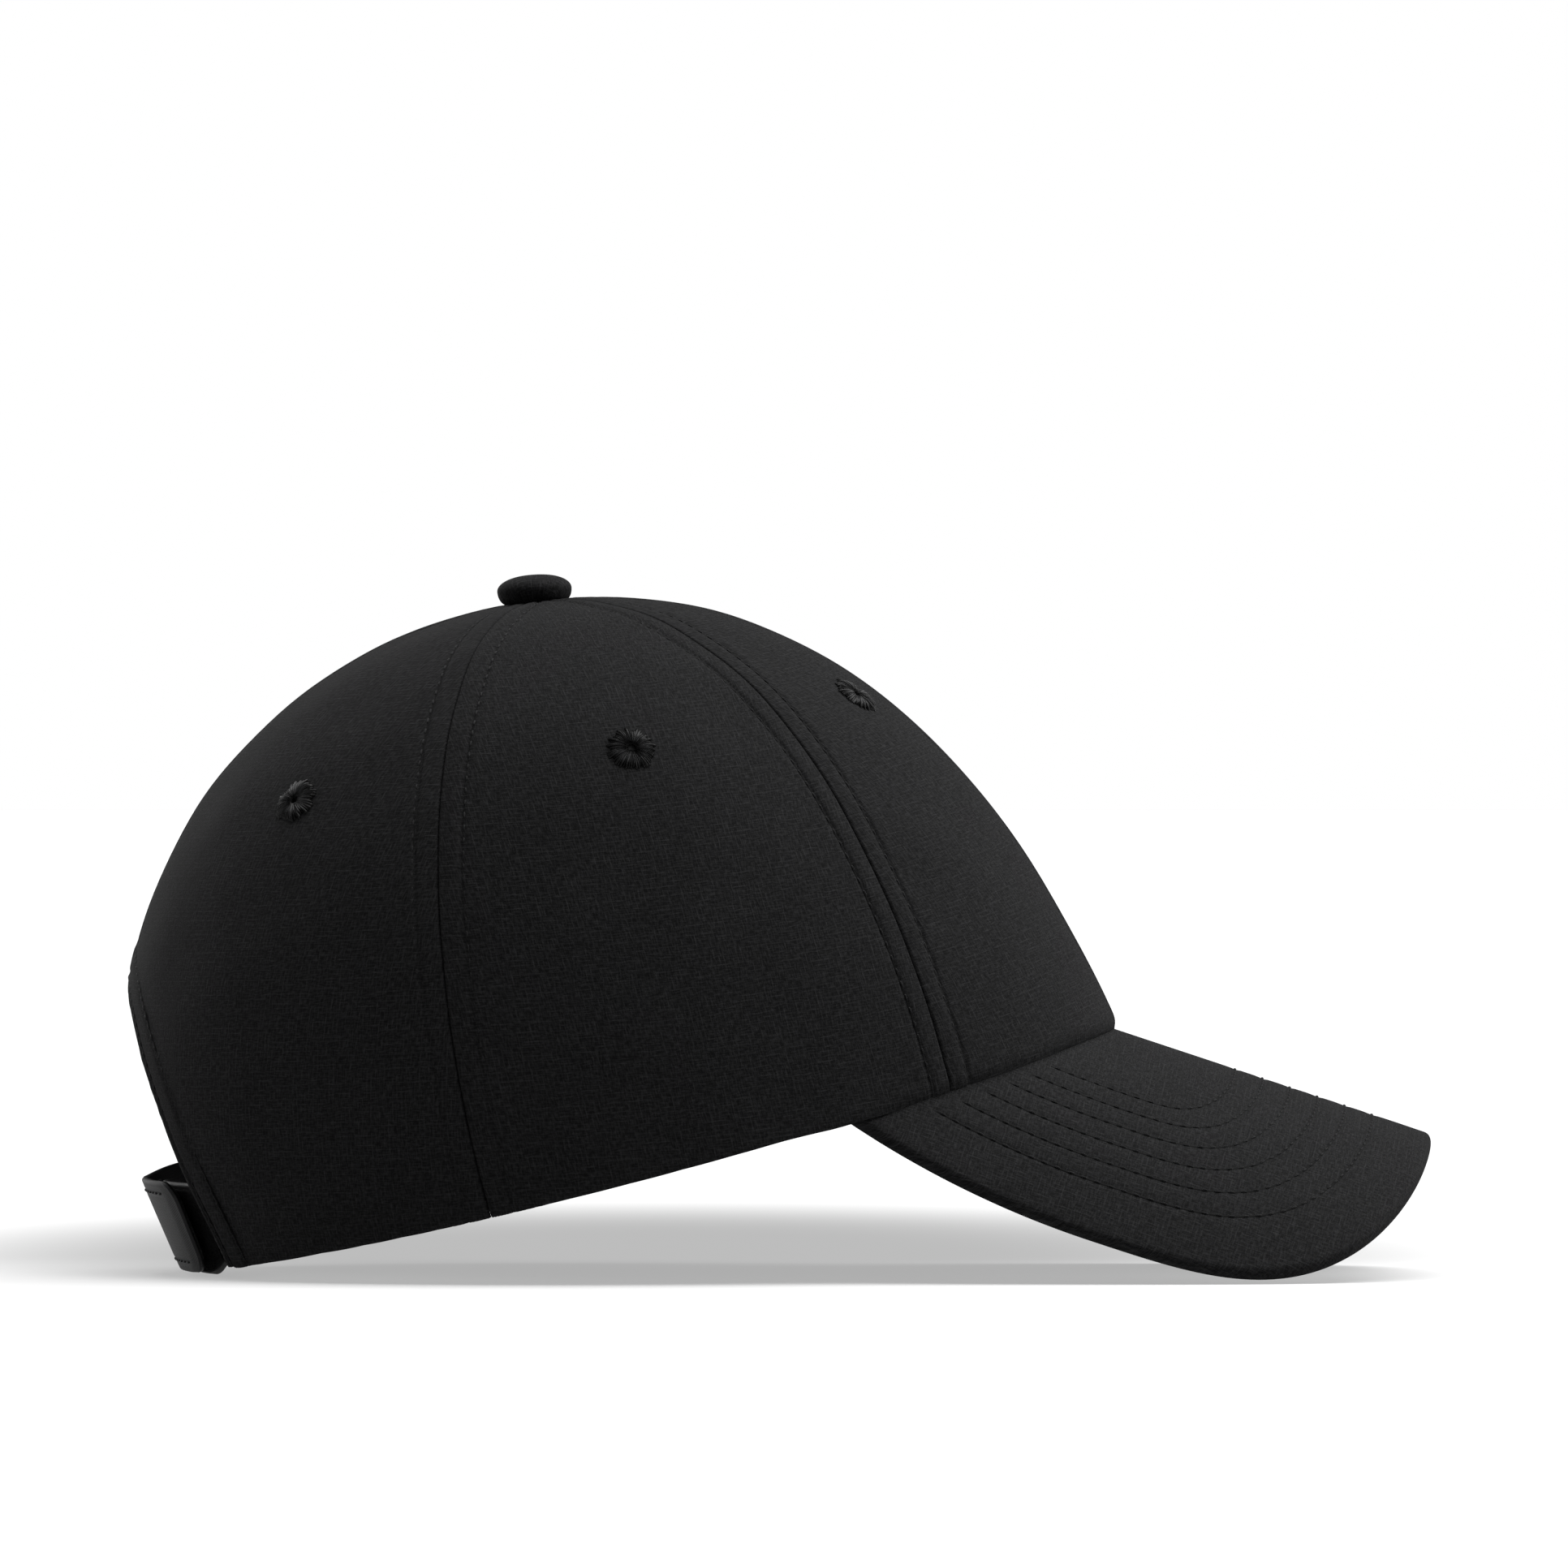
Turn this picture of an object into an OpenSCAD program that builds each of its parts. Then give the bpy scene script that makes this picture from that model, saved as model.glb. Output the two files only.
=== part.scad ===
// Six-panel baseball cap with a curved visor, a rear arch and a hook-and-loop strap.
// The visor points to -Y, the wearer's left is +X, and the cap stands on Z = 0.

/* [Crown] */
// Half the width of the bottom edge
edge_half_width = 83.8; // [80:0.1:88]
// Half the length of the bottom edge
edge_half_length = 99.3; // [96:0.1:103]
// How much fuller the bottom edge is behind than in front
edge_egg = 0.07; // [0:0.01:0.12]
// Distance of the bottom edge's middle behind the cap's middle
edge_mid_y = 27.6; // [26:0.1:29]
// Height of the bottom edge at its middle
edge_mid_z = 22.3; // [20:0.1:25]
// Distance of the apex behind the cap's middle
apex_y = 51.2; // [48:0.1:54]
// Height of the apex
apex_z = 142; // [136:0.5:148]
// Thickness of the panel cloth
cloth_t = 0.8; // [0.6:0.1:0.9]
// Direction of the seam between front and side panels, round from the front
front_seam_deg = 50; // [46:1:54]
// Direction of the seam between side and back panels
back_seam_deg = 109; // [105:1:113]

/* [Rear arch] */
// Direction of the arch's foot, round from the front
arch_foot_deg = 152; // [150:1:154]
// Share of the back seam that is left above the arch
arch_top_share = 0.67; // [0.64:0.01:0.7]

/* [Visor] */
// Slope of the visor along its middle
visor_pitch = 18.35; // [16:0.05:20]
// Radius of the visor's curve from side to side
visor_r = 92; // [88:1:96]
// Half width, measured along the curve
visor_half_arc = 90.8; // [88:0.1:92]
// Length from the widest place to the tip
visor_reach = 63.8; // [60:0.1:68]
// Thickness over the board and both cloths
visor_t = 4; // [3.6:0.1:4.4]

/* [Strap] */
// Width of the two strap tabs
strap_w = 21; // [19:0.5:22]
// Thickness of one tab
tab_t = 1.4; // [1:0.1:1.6]
// Radius of the strap at its lower edge
strap_r = 63; // [62:0.5:64]
// Lean of the strap away from upright
strap_flare = 23.4; // [21:0.2:25]

/* [Button] */
// Radius of the covered button
button_r = 7.9; // [7:0.1:8.5]
// Height of the covered button
button_h = 5.5; // [4.5:0.1:6]

/* [Sweatband] */
// Width of the sweatband
band_w = 30; // [26:1:34]

/* [Hidden] */
$fn = 96;

// Colours, black cloth in slightly different depths
panel_colour = [0.10, 0.10, 0.11];
lining_colour = [0.16, 0.16, 0.17];
thread_colour = [0.06, 0.06, 0.07];
strap_colour = [0.20, 0.20, 0.21];
board_colour = [0.85, 0.85, 0.83];
steel_colour = [0.66, 0.66, 0.68];
foam_colour = [0.9, 0.9, 0.88];

// Shape of the meridian curves: front, side and back values, in mm and degrees
apex_pull = [44.7, 67.4, 68.4];
edge_pull = [84, 65.9, 69.7];
edge_lean = [-11.2, 7.6, 15.9];
apex_slope = 6.1;
crown_tilt = 13;

// Free bottom edge: height gained per 100 mm forward, and its upward curl
edge_rise = 26.4;
edge_curl = 4.3;
// The edge leaves the visor between these two directions
visor_leave_deg = 52;
free_edge_deg = 76;
// Gap between the crown's edge and the visor it is sewn to
seat_gap = 0.7;

// Root of the visor on the middle line, and the place of its widest part
root_y = -72.8;
root_z = 50.8;
visor_widest = 4.8;
visor_square = 3.4;
visor_tail = 123;
visor_corner_deg = 124;
root_corner_deg = 61;

// Depths below the outer face of the crown
seam_gap = 0.3;
stiff_depth = [1.05, 1.55];
tape_depth = [1.9, 2.3];
band_depth = [3.4, 6];
band_cloth = 0.6;
tape_half_w = 5.5;
apex_hole = 3;
apex = [0, apex_y, apex_z];

// Directions and meridian places of the eyelets on the front, side and back panels
front_eyelet_at = [24, 0.54];
side_eyelet_at = [79, 0.495];
back_eyelet_at = [135.5, 0.465];

// Strap: axis of its cone, ends of the tabs round from straight back, and pads
strap_mid_y = 63.7;
pad_t = 0.9;
// Hair's breadth kept between pieces that are glued or clinched together
glue_gap = 0.05;
rest_gap = 0.7;
hook_end_deg = -25;
loop_end_deg = 16;
sewn_deg = 41;
// Flex lines where the tabs bend beside their sewn ends, and half the space kept there
hook_flex_deg = 26;
loop_flex_deg = -33;
flex_half_deg = 1.6;
tab_corner_r = 5;
pad_margin = 2;
hook_rise_deg = 1.2;

function lerp(a, b, u) = a + (b - a)*u;
function unit(v) = v/norm(v);
function clamp01(u) = min(max(u, 0), 1);
function ease(u) = let (c = clamp01(u)) c*c*(3 - 2*c);
function steps(n) = [for (i = [0:n]) i/n];

// Smooth value round the crown from its front, side and back values
function around(v, phi) =
    (v[0] + 2*v[1] + v[2])/4 + (v[0] - v[2])/2*cos(phi) + (v[0] - 2*v[1] + v[2])/4*cos(2*phi);

// ---- Bottom edge of the crown; phi runs from the front (0) over the left to the back (180)

function edge_x(phi) = edge_half_width*sin(phi)*(1 - edge_egg*cos(phi));
function edge_y(phi) = edge_mid_y - edge_half_length*cos(phi);
function visor_drop(x) = visor_r - sqrt(visor_r^2 - x^2);
function edge_on_visor(x, y) =
    root_z + (y - root_y)*tan(visor_pitch) - visor_drop(x)/cos(visor_pitch) + seat_gap;
function edge_free(y) =
    let (u = (edge_mid_y - y)/100) edge_mid_z + edge_rise*u + edge_curl*u^2;
function edge_z(phi) =
    let (x = edge_x(phi), y = edge_y(phi),
         w = ease((phi - visor_leave_deg)/(free_edge_deg - visor_leave_deg)))
    w >= 1 ? edge_free(y) : lerp(edge_on_visor(x, y), edge_free(y), w);
function edge(phi) = [edge_x(phi), edge_y(phi), edge_z(abs(phi))];

// Outward direction of the edge's outline, seen from above
function edge_out(phi) =
    unit([edge_half_length*sin(phi),
          -edge_half_width*(cos(phi) - edge_egg*cos(2*phi)), 0]);

// ---- Crown surface: one cubic curve from the apex to the edge in every direction

function edge_tangent(phi) =
    let (up = [0, sin(crown_tilt), cos(crown_tilt)],
         out = unit(edge_out(phi) - up*(edge_out(phi)*up)),
         lean = around(edge_lean, phi))
    up*cos(lean) + out*sin(lean);
function apex_tangent(phi) =
    [sin(phi), -cos(phi)*cos(apex_slope), cos(phi)*sin(apex_slope)];
function crown(phi, t) =
    let (a = apex + around(apex_pull, phi)*apex_tangent(phi),
         e = edge(phi),
         b = e + around(edge_pull, phi)*edge_tangent(phi),
         s = 1 - t)
    s^3*apex + 3*s^2*t*a + 3*s*t^2*b + t^3*e;
function crown_out(phi, t) =
    unit(cross(crown(phi, t + 0.004) - crown(phi, t - 0.004),
               crown(phi + 0.4, t) - crown(phi - 0.4, t)));
function inside(phi, t, depth) = crown(phi, t) - depth*crown_out(phi, t);

// Meridian place that lies a given distance above the edge
function above_edge(phi, d, t = 0.85, n = 4) =
    n == 0 ? t
           : above_edge(phi, d, 1 - (1 - t)*d/norm(crown(phi, t) - crown(phi, 1)), n - 1);

// Half a seam's width as an angle, which grows towards the apex
function gap_deg(phi, t, w) =
    let (p = crown(phi, t) - apex) asin(min(0.9, w/max(norm([p.x, p.y]), 0.01)));
// Meridian place that lies a short distance from the apex
function near_apex(phi, d) = d/(3*around(apex_pull, phi));

// Arch outline: direction and meridian place from the foot (0) to the top (90)
arch_power = 2/1.8;
function arch_phi(a) = 180 - (180 - arch_foot_deg)*pow(cos(a), arch_power);
function arch_t(a) = 1 - (1 - arch_top_share)*pow(sin(a), arch_power);

// ---- Closed sheet between two grids of points with equal rows and columns

module sheet(face_a, face_b) {
    rows = len(face_a);
    cols = len(face_a[0]);
    half = rows*cols;
    last_r = rows - 1;
    last_c = cols - 1;
    function at(i, j) = i*cols + j;
    function quad(a, b, c, d) = [[a, b, c], [a, c, d]];
    faces = [
        for (i = [0:last_r - 1], j = [0:last_c - 1])
            each quad(at(i, j), at(i + 1, j), at(i + 1, j + 1), at(i, j + 1)),
        for (i = [0:last_r - 1], j = [0:last_c - 1])
            each quad(half + at(i, j), half + at(i, j + 1), half + at(i + 1, j + 1),
                      half + at(i + 1, j)),
        for (j = [0:last_c - 1]) each concat(
            quad(at(0, j), at(0, j + 1), half + at(0, j + 1), half + at(0, j)),
            quad(at(last_r, j + 1), at(last_r, j), half + at(last_r, j),
                 half + at(last_r, j + 1))),
        for (i = [0:last_r - 1]) each concat(
            quad(at(i + 1, 0), at(i, 0), half + at(i, 0), half + at(i + 1, 0)),
            quad(at(i, last_c), at(i + 1, last_c), half + at(i + 1, last_c),
                 half + at(i, last_c)))];
    polyhedron([for (r = face_a) each r, for (r = face_b) each r], faces, convexity = 6);
}

// ---- Crown panels

// Columns of a panel, each [direction, lowest meridian place]
function plain_columns(from, to, n) = [for (u = steps(n)) [lerp(from, to, u), 1]];
back_columns = concat(
    plain_columns(back_seam_deg, arch_foot_deg, 6),
    [for (a = [12:13:90]) [arch_phi(a), arch_t(a)]]);

// Points of a panel's grid at one depth; the first and last columns stop at the seams
function panel_grid(columns, rows, depth) =
    let (from = columns[0][0], to = columns[len(columns) - 1][0])
    [for (c = columns) [for (u = steps(rows))
        let (t = lerp(near_apex(c[0], apex_hole), c[1], u),
             g = gap_deg(c[0], t, seam_gap/2),
             phi = lerp(from + g, to - g, (c[0] - from)/(to - from)))
        inside(phi, t, depth)]];

// Puts children on the crown, their +Z pointing out of it
module on_crown(place) {
    n = crown_out(place[0], place[1]);
    translate(crown(place[0], place[1]))
        rotate([0, acos(n.z), atan2(n.y, n.x)])
            children();
}

eyelet_bore_r = 2.6;
module eyelet_bore(place) {
    on_crown(place) cylinder(r = eyelet_bore_r + 0.1, h = 12, center = true);
}

module panel(columns, eyelet_place) {
    rows = 16;
    difference() {
        sheet(panel_grid(columns, rows, 0), panel_grid(columns, rows, cloth_t));
        eyelet_bore(eyelet_place);
    }
}

module on_right() {
    mirror([1, 0, 0]) children();
}

module front_left_panel() {
    color(panel_colour) panel(plain_columns(0, front_seam_deg, 8), front_eyelet_at);
}
module side_left_panel() {
    color(panel_colour)
        panel(plain_columns(front_seam_deg, back_seam_deg, 8), side_eyelet_at);
}
module back_left_panel() {
    color(panel_colour) panel(back_columns, back_eyelet_at);
}
module front_right_panel() { on_right() front_left_panel(); }
module side_right_panel() { on_right() side_left_panel(); }
module back_right_panel() { on_right() back_left_panel(); }

// Stiff buckram fused behind each front panel
buckram_top = 0.16;
buckram_foot = 0.985;
module front_left_buckram() {
    columns = plain_columns(1, front_seam_deg - 1, 8);
    function grid(depth) = [for (c = columns) [for (u = steps(12))
        let (t = lerp(buckram_top, buckram_foot, u), g = gap_deg(c[0], t, seam_gap))
        inside(lerp(1 + g, front_seam_deg - 1 - g, (c[0] - 1)/(front_seam_deg - 2)),
               t, depth)]];
    color(lining_colour) difference() {
        sheet(grid(stiff_depth[0]), grid(stiff_depth[1]));
        eyelet_bore(front_eyelet_at);
    }
}
module front_right_buckram() { on_right() front_left_buckram(); }

// ---- Seam tapes

// Point beside a meridian, at a distance across it; the drop follows the crown's curve
tape_bend_r = 75;
function beside(phi, t, x, depth) =
    let (n = crown_out(phi, t),
         down = unit(crown(phi, t + 0.004) - crown(phi, t - 0.004)),
         across = unit(cross(down, n)))
    crown(phi, t) + x*across - (depth + x^2/(2*tape_bend_r))*n;

module tape(phi, t_from, t_to, rows) {
    function grid(depth) = [for (x = [-tape_half_w, 0, tape_half_w]) [for (u = steps(rows))
        beside(phi, lerp(t_from, t_to, u), x, depth)]];
    color(lining_colour) sheet(grid(tape_depth[0]), grid(tape_depth[1]));
}

// The long tape runs from the front edge over the apex to the arch
rivet_hole_r = 1.5;
module center_seam_tape() {
    front = [for (u = steps(14)) lerp(0.97, 0.012, u)];
    back = [for (u = steps(12)) lerp(0.012, arch_top_share - 0.035, u)];
    function grid(depth) = [for (x = [tape_half_w, 0, -tape_half_w]) concat(
        [for (t = front) beside(0, t, x, depth)],
        [for (t = back) beside(180, t, -x, depth)])];
    color(lining_colour) difference() {
        sheet(grid(tape_depth[0]), grid(tape_depth[1]));
        translate(apex) cylinder(r = rivet_hole_r, h = 20, center = true);
    }
}

// Short tapes start beside the long one
tape_start = 13;
module front_left_seam_tape() {
    tape(front_seam_deg, near_apex(front_seam_deg, tape_start), 0.97, 14);
}
module back_left_seam_tape() {
    tape(back_seam_deg, near_apex(back_seam_deg, tape_start), 0.985, 14);
}
module front_right_seam_tape() { on_right() front_left_seam_tape(); }
module back_right_seam_tape() { on_right() back_left_seam_tape(); }

// Folded facing inside the arch's hem, above the strap
binding_w = 9;
binding_start_deg = 28;
module arch_binding() {
    function rim(a, side) =
        [side > 0 ? arch_phi(a) : 360 - arch_phi(a), arch_t(a)];
    angles = concat(
        [for (a = [binding_start_deg:62/8:90]) [a, 1]],
        [for (a = [90 - 62/8:-62/8:binding_start_deg]) [a, -1]]);
    function hem_point(a, side, back, depth) =
        let (foot = rim(a, side),
             shift = back/(1 + 0.02*back),
             t = foot[1] - shift/190*max(sin(a), 0.25),
             turn = side*shift*cos(a)/1.45)
        inside(foot[0] - turn, t, depth);
    function grid(depth) = [for (s = angles) [for (back = [0.6, binding_w/2, binding_w])
        hem_point(s[0], s[1], back, depth)]];
    color(lining_colour) sheet(grid(stiff_depth[0]), grid(stiff_depth[1]));
}

// ---- Embroidered eyelets

eyelet_r = 5.3;
eyelet_hole_r = 1.5;
module eyelet(place, grip) {
    outer_flange = 0.6;
    inner_top = -grip - 0.6;
    color(thread_colour) on_crown(place) rotate_extrude() polygon([
        [eyelet_hole_r, outer_flange*0.7], [2.2, outer_flange], [4.6, outer_flange*0.85],
        [eyelet_r, 0.25], [eyelet_r, 0.08], [eyelet_bore_r, 0.08],
        [eyelet_bore_r, inner_top], [eyelet_r - 0.5, inner_top],
        [eyelet_r - 0.5, inner_top - 0.4], [eyelet_hole_r, inner_top - 0.4]]);
}
module front_left_eyelet() { eyelet(front_eyelet_at, stiff_depth[1]); }
module side_left_eyelet() { eyelet(side_eyelet_at, cloth_t); }
module back_left_eyelet() { eyelet(back_eyelet_at, cloth_t); }
module front_right_eyelet() { on_right() front_left_eyelet(); }
module side_right_eyelet() { on_right() side_left_eyelet(); }
module back_right_eyelet() { on_right() back_left_eyelet(); }

// ---- Sweatband: cloth folded over a foam strip, sewn inside the bottom edge

band_end_deg = 146;
band_columns = [for (i = [-36:36]) i*band_end_deg/36];
module sweatband() {
    in = band_depth[1];
    out = band_depth[0];
    c = band_cloth;
    // Path over the fold: [height above the edge, depth of face A, depth of face B]
    path = [[0, in, in - c], [0.5*band_w, in, in - c], [band_w - 1.2, in, in - c],
            [band_w, (in + out)/2 + 0.5, (in + out)/2 + 0.3],
            [band_w, (in + out)/2 - 0.5, (in + out)/2 - 0.3],
            [band_w - 1.2, out, out + c], [0.5*band_w, out, out + c], [0, out, out + c]];
    function lower(h) = h > band_w - 1 ? h - c : h;
    function at_height(phi, h, depth) =
        let (t = h < 0.01 ? 1 : above_edge(abs(phi), h)) inside(phi, t, depth);
    color(lining_colour) sheet(
        [for (phi = band_columns) [for (p = path) at_height(phi, p[0], p[1])]],
        [for (phi = band_columns) [for (p = path) at_height(phi, lower(p[0]), p[2])]]);
}
module sweatband_foam() {
    depth = [band_depth[0] + band_cloth + 0.2, band_depth[1] - band_cloth - 0.2];
    heights = [band_w - 2.6, 0.5*band_w, 1];
    function grid(d) = [for (phi = band_columns) [for (h = heights)
        inside(phi, above_edge(abs(phi), h), d)]];
    color(foam_colour) sheet(grid(depth[0]), grid(depth[1]));
}

// ---- Visor: part of a tilted cylinder; a is arc across it, v is length along it

function visor_point(a, v, depth) =
    let (beta = a/visor_r*180/PI,
         x = (visor_r - depth)*sin(beta),
         drop = visor_r - (visor_r - depth)*cos(beta))
    [x, root_y - v*cos(visor_pitch) + drop*sin(visor_pitch),
     root_z - v*sin(visor_pitch) - drop*cos(visor_pitch)];

// Rim seen from the widest place: a squarish front and a long elliptical tail
function rim_point(chi, margin) =
    let (a = visor_half_arc - margin,
         b = (abs(chi) < 90 ? visor_reach : visor_tail) - margin,
         n = abs(chi) < 90 ? visor_square : 2,
         r = pow(pow(abs(cos(chi))/b, n) + pow(abs(sin(chi))/a, n), -1/n))
    [r*sin(chi), visor_widest + r*cos(chi)];

// Root: the crown's edge laid on the visor, moved inwards by a margin
function root_point(phi, margin) =
    let (p = [edge_x(phi), edge_y(phi)] - margin*[edge_out(phi).x, edge_out(phi).y],
         drop = visor_drop(p.x))
    [visor_r*asin(p.x/visor_r)*PI/180,
     (root_y + drop*sin(visor_pitch) - p.y)/cos(visor_pitch)];

visor_rows = 18;
// Grid of a visor layer. Each path entry is [share from root to rim, rim margin, depth]
function visor_grid(path, root_margin, corner = 1) =
    [for (i = [-visor_rows:visor_rows]) let (s = corner*i/visor_rows) [for (p = path)
        let (q = lerp(root_point(root_corner_deg*s, root_margin),
                      rim_point(visor_corner_deg*s, p[1]), p[0]))
        visor_point(q[0], q[1], p[2])]];
function flat_path(margin, depth) = [for (u = steps(5)) [u, margin, depth]];

visor_cloth = 0.7;
seam_allowance = 2.4;
module visor_top_cloth() {
    wall = visor_t - 0.8;
    c = visor_cloth;
    outer = concat(flat_path(0.8, 0), [[1, 0.2, 0.35], [1, 0, 1], [1, 0, wall]]);
    inner = concat(flat_path(0.8 + c, c), [[1, c + 0.1, c + 0.15], [1, c, 1.2], [1, c, wall]]);
    color(panel_colour)
        sheet(visor_grid(outer, seam_allowance), visor_grid(inner, seam_allowance));
}
module visor_board() {
    margin = visor_cloth + 0.4;
    color(board_colour) sheet(
        visor_grid(flat_path(margin, visor_cloth + 0.2), -1, 0.97),
        visor_grid(flat_path(margin, visor_t - visor_cloth - 0.3), -1, 0.97));
}
module visor_under_cloth() {
    color(panel_colour) sheet(
        visor_grid(flat_path(0.1, visor_t - visor_cloth), seam_allowance),
        visor_grid(flat_path(0.4, visor_t), seam_allowance));
}

// ---- Button on the apex

button_tilt = 4;
module on_apex() {
    translate([0, apex_y + 0.6, apex_z + 0.1]) rotate([-button_tilt, 0, 0]) children();
}
// Outline of a shallow dome with radius r and height h standing at z
function dome(r, h, z) = [for (a = [0:6:90]) [r*cos(a), z + h*sin(a)]];
cover_t = 0.6;
rim_z = 1.3;
module button_cover() {
    inner = dome(button_r - cover_t, button_h - rim_z - cover_t, rim_z);
    color(panel_colour) on_apex() rotate_extrude() polygon(concat(
        dome(button_r, button_h - rim_z, rim_z),
        [for (i = [len(inner) - 1:-1:0]) inner[i]],
        [[button_r - 1.1, 1], [5.4, 1], [5.4, 0.45], [button_r - 0.8, 0.5]]));
}
module button_shell() {
    r = button_r - cover_t - 0.1;
    h = button_h - rim_z - cover_t - 0.1;
    inner = dome(r - 0.5, h - 0.5, rim_z + 0.05);
    color(steel_colour) on_apex() rotate_extrude() polygon(concat(
        dome(r, h, rim_z + 0.05), [for (i = [len(inner) - 1:-1:0]) inner[i]]));
}
shank_r = 1;
rivet_depth = 4.3;
base_z = [0.45, 1.15];
module button_base() {
    color(steel_colour) on_apex() difference() {
        translate([0, 0, base_z[0]]) cylinder(r = 5.2, h = base_z[1] - base_z[0]);
        cylinder(r = shank_r + 0.02, h = 4, center = true);
    }
}
module button_rivet() {
    color(steel_colour) on_apex() union() {
        translate([0, 0, -rivet_depth]) cylinder(r = 5.5, h = 0.8);
        translate([0, 0, 0.4 - rivet_depth])
            cylinder(r = shank_r, h = rivet_depth + base_z[1]);
        translate([0, 0, base_z[1] + glue_gap]) cylinder(r = 1.9, h = 0.5);
    }
}

// ---- Rear strap: two tabs on one upright cone, flaring upwards

// Band of the cone between two directions round from straight back (+ to the left).
// depth is measured inwards from the strap's outer face, margin from its long edges,
// and foot along its width from the outer face's lower edge.
module strap_band(from, to, depth, t, margin = 0, foot = 0) {
    function at(h, d) =
        [strap_r + h*sin(strap_flare) - d*cos(strap_flare),
         h*cos(strap_flare) + d*sin(strap_flare)];
    h0 = foot + margin;
    h1 = foot + strap_w - margin;
    rotate([0, 0, 90 - to]) rotate_extrude(angle = to - from, $fn = 180)
        polygon([at(h0, depth), at(h1, depth), at(h1, depth + t), at(h0, depth + t)]);
}
// Cuts both corners of a band's free end to a radius; side is +1 for an end on the left
module round_end(deg, side, margin = 0, foot = 0) {
    r = tab_corner_r - margin;
    module corner(h, dir) {
        translate([side*-r, 0, h + dir*r]) difference() {
            translate([side > 0 ? 0 : -r - 1, -8, dir > 0 ? -r - 1 : 0])
                cube([r + 1, 16, r + 1]);
            rotate([90, 0, 0]) cylinder(r = r, h = 40, center = true);
        }
    }
    difference() {
        children();
        rotate([0, 0, -deg]) translate([0, strap_r, 0]) rotate([-strap_flare, 0, 0]) {
            corner(foot + margin, 1);
            corner(foot + strap_w - margin, -1);
        }
    }
}
module in_strap_frame() {
    translate([0, strap_mid_y, 0]) children();
}
// The hook tab lies a little askew on the loop tab, its root higher than its free end
module in_hook_frame() {
    translate([-28, 0, 0.2]) rotate([0, -hook_rise_deg, 0]) translate([28, 0, 0])
        in_strap_frame() children();
}

loop_depth = tab_t + pad_t + rest_gap + pad_t;
// The loop tab stands on the same surface as the hook tab in front of it
loop_foot = -loop_depth*tan(strap_flare);
pad_inset_deg = 1.6;
module hook_tab() {
    color(strap_colour) in_hook_frame() round_end(hook_end_deg, -1)
        strap_band(hook_end_deg, hook_flex_deg - flex_half_deg, 0, tab_t);
}
module hook_tab_sewn_end() {
    color(strap_colour) in_hook_frame()
        strap_band(hook_flex_deg + flex_half_deg, sewn_deg, 0, tab_t);
}
module hook_pad() {
    from = hook_end_deg + pad_inset_deg;
    color(thread_colour) in_hook_frame() round_end(from, -1, pad_margin)
        strap_band(from, loop_end_deg - 6, tab_t + glue_gap, pad_t - glue_gap, pad_margin);
}
module loop_tab() {
    color(strap_colour) in_strap_frame() round_end(loop_end_deg, 1, 0, loop_foot)
        strap_band(loop_flex_deg + flex_half_deg, loop_end_deg, loop_depth, tab_t, 0,
                   loop_foot);
}
module loop_tab_sewn_end() {
    color(strap_colour) in_strap_frame()
        strap_band(-sewn_deg, loop_flex_deg - flex_half_deg, loop_depth, tab_t, 0,
                   loop_foot);
}
module loop_pad() {
    to = loop_end_deg - pad_inset_deg;
    color(thread_colour) in_strap_frame() round_end(to, 1, pad_margin, loop_foot)
        strap_band(loop_flex_deg + 2*flex_half_deg, to, loop_depth - pad_t,
                   pad_t - glue_gap, pad_margin, loop_foot);
}

front_left_panel();
front_right_panel();
side_left_panel();
side_right_panel();
back_left_panel();
back_right_panel();
front_left_buckram();
front_right_buckram();
center_seam_tape();
front_left_seam_tape();
front_right_seam_tape();
back_left_seam_tape();
back_right_seam_tape();
arch_binding();
front_left_eyelet();
front_right_eyelet();
side_left_eyelet();
side_right_eyelet();
back_left_eyelet();
back_right_eyelet();
sweatband();
sweatband_foam();
visor_top_cloth();
visor_board();
visor_under_cloth();
button_cover();
button_shell();
button_base();
button_rivet();
hook_tab_sewn_end();
hook_tab();
hook_pad();
loop_tab_sewn_end();
loop_tab();
loop_pad();
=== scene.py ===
"""Looks of a six-panel baseball cap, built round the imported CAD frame.

Lengths are in millimetres and directions in degrees, as in the part's source. Lengths
become metres when a mesh is made. The visor points to -Y and the wearer's left is +X.
"""
import math

import bpy
import numpy as np
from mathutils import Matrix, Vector


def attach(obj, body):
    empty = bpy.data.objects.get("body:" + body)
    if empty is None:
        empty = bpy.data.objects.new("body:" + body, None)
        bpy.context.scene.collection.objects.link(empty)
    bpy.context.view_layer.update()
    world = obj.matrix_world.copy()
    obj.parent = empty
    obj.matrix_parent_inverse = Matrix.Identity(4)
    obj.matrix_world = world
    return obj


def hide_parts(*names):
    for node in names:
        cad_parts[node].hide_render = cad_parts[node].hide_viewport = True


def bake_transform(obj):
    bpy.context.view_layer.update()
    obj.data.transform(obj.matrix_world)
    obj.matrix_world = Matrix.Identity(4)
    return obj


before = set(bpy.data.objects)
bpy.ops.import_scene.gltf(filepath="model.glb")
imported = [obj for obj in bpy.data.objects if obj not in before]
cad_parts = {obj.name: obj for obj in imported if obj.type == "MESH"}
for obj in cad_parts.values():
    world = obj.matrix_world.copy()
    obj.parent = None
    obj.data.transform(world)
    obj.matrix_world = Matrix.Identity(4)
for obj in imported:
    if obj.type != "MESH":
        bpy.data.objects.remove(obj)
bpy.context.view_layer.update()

MM = 0.001

# ---- Driving dimensions, the same as the CAD's

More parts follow.
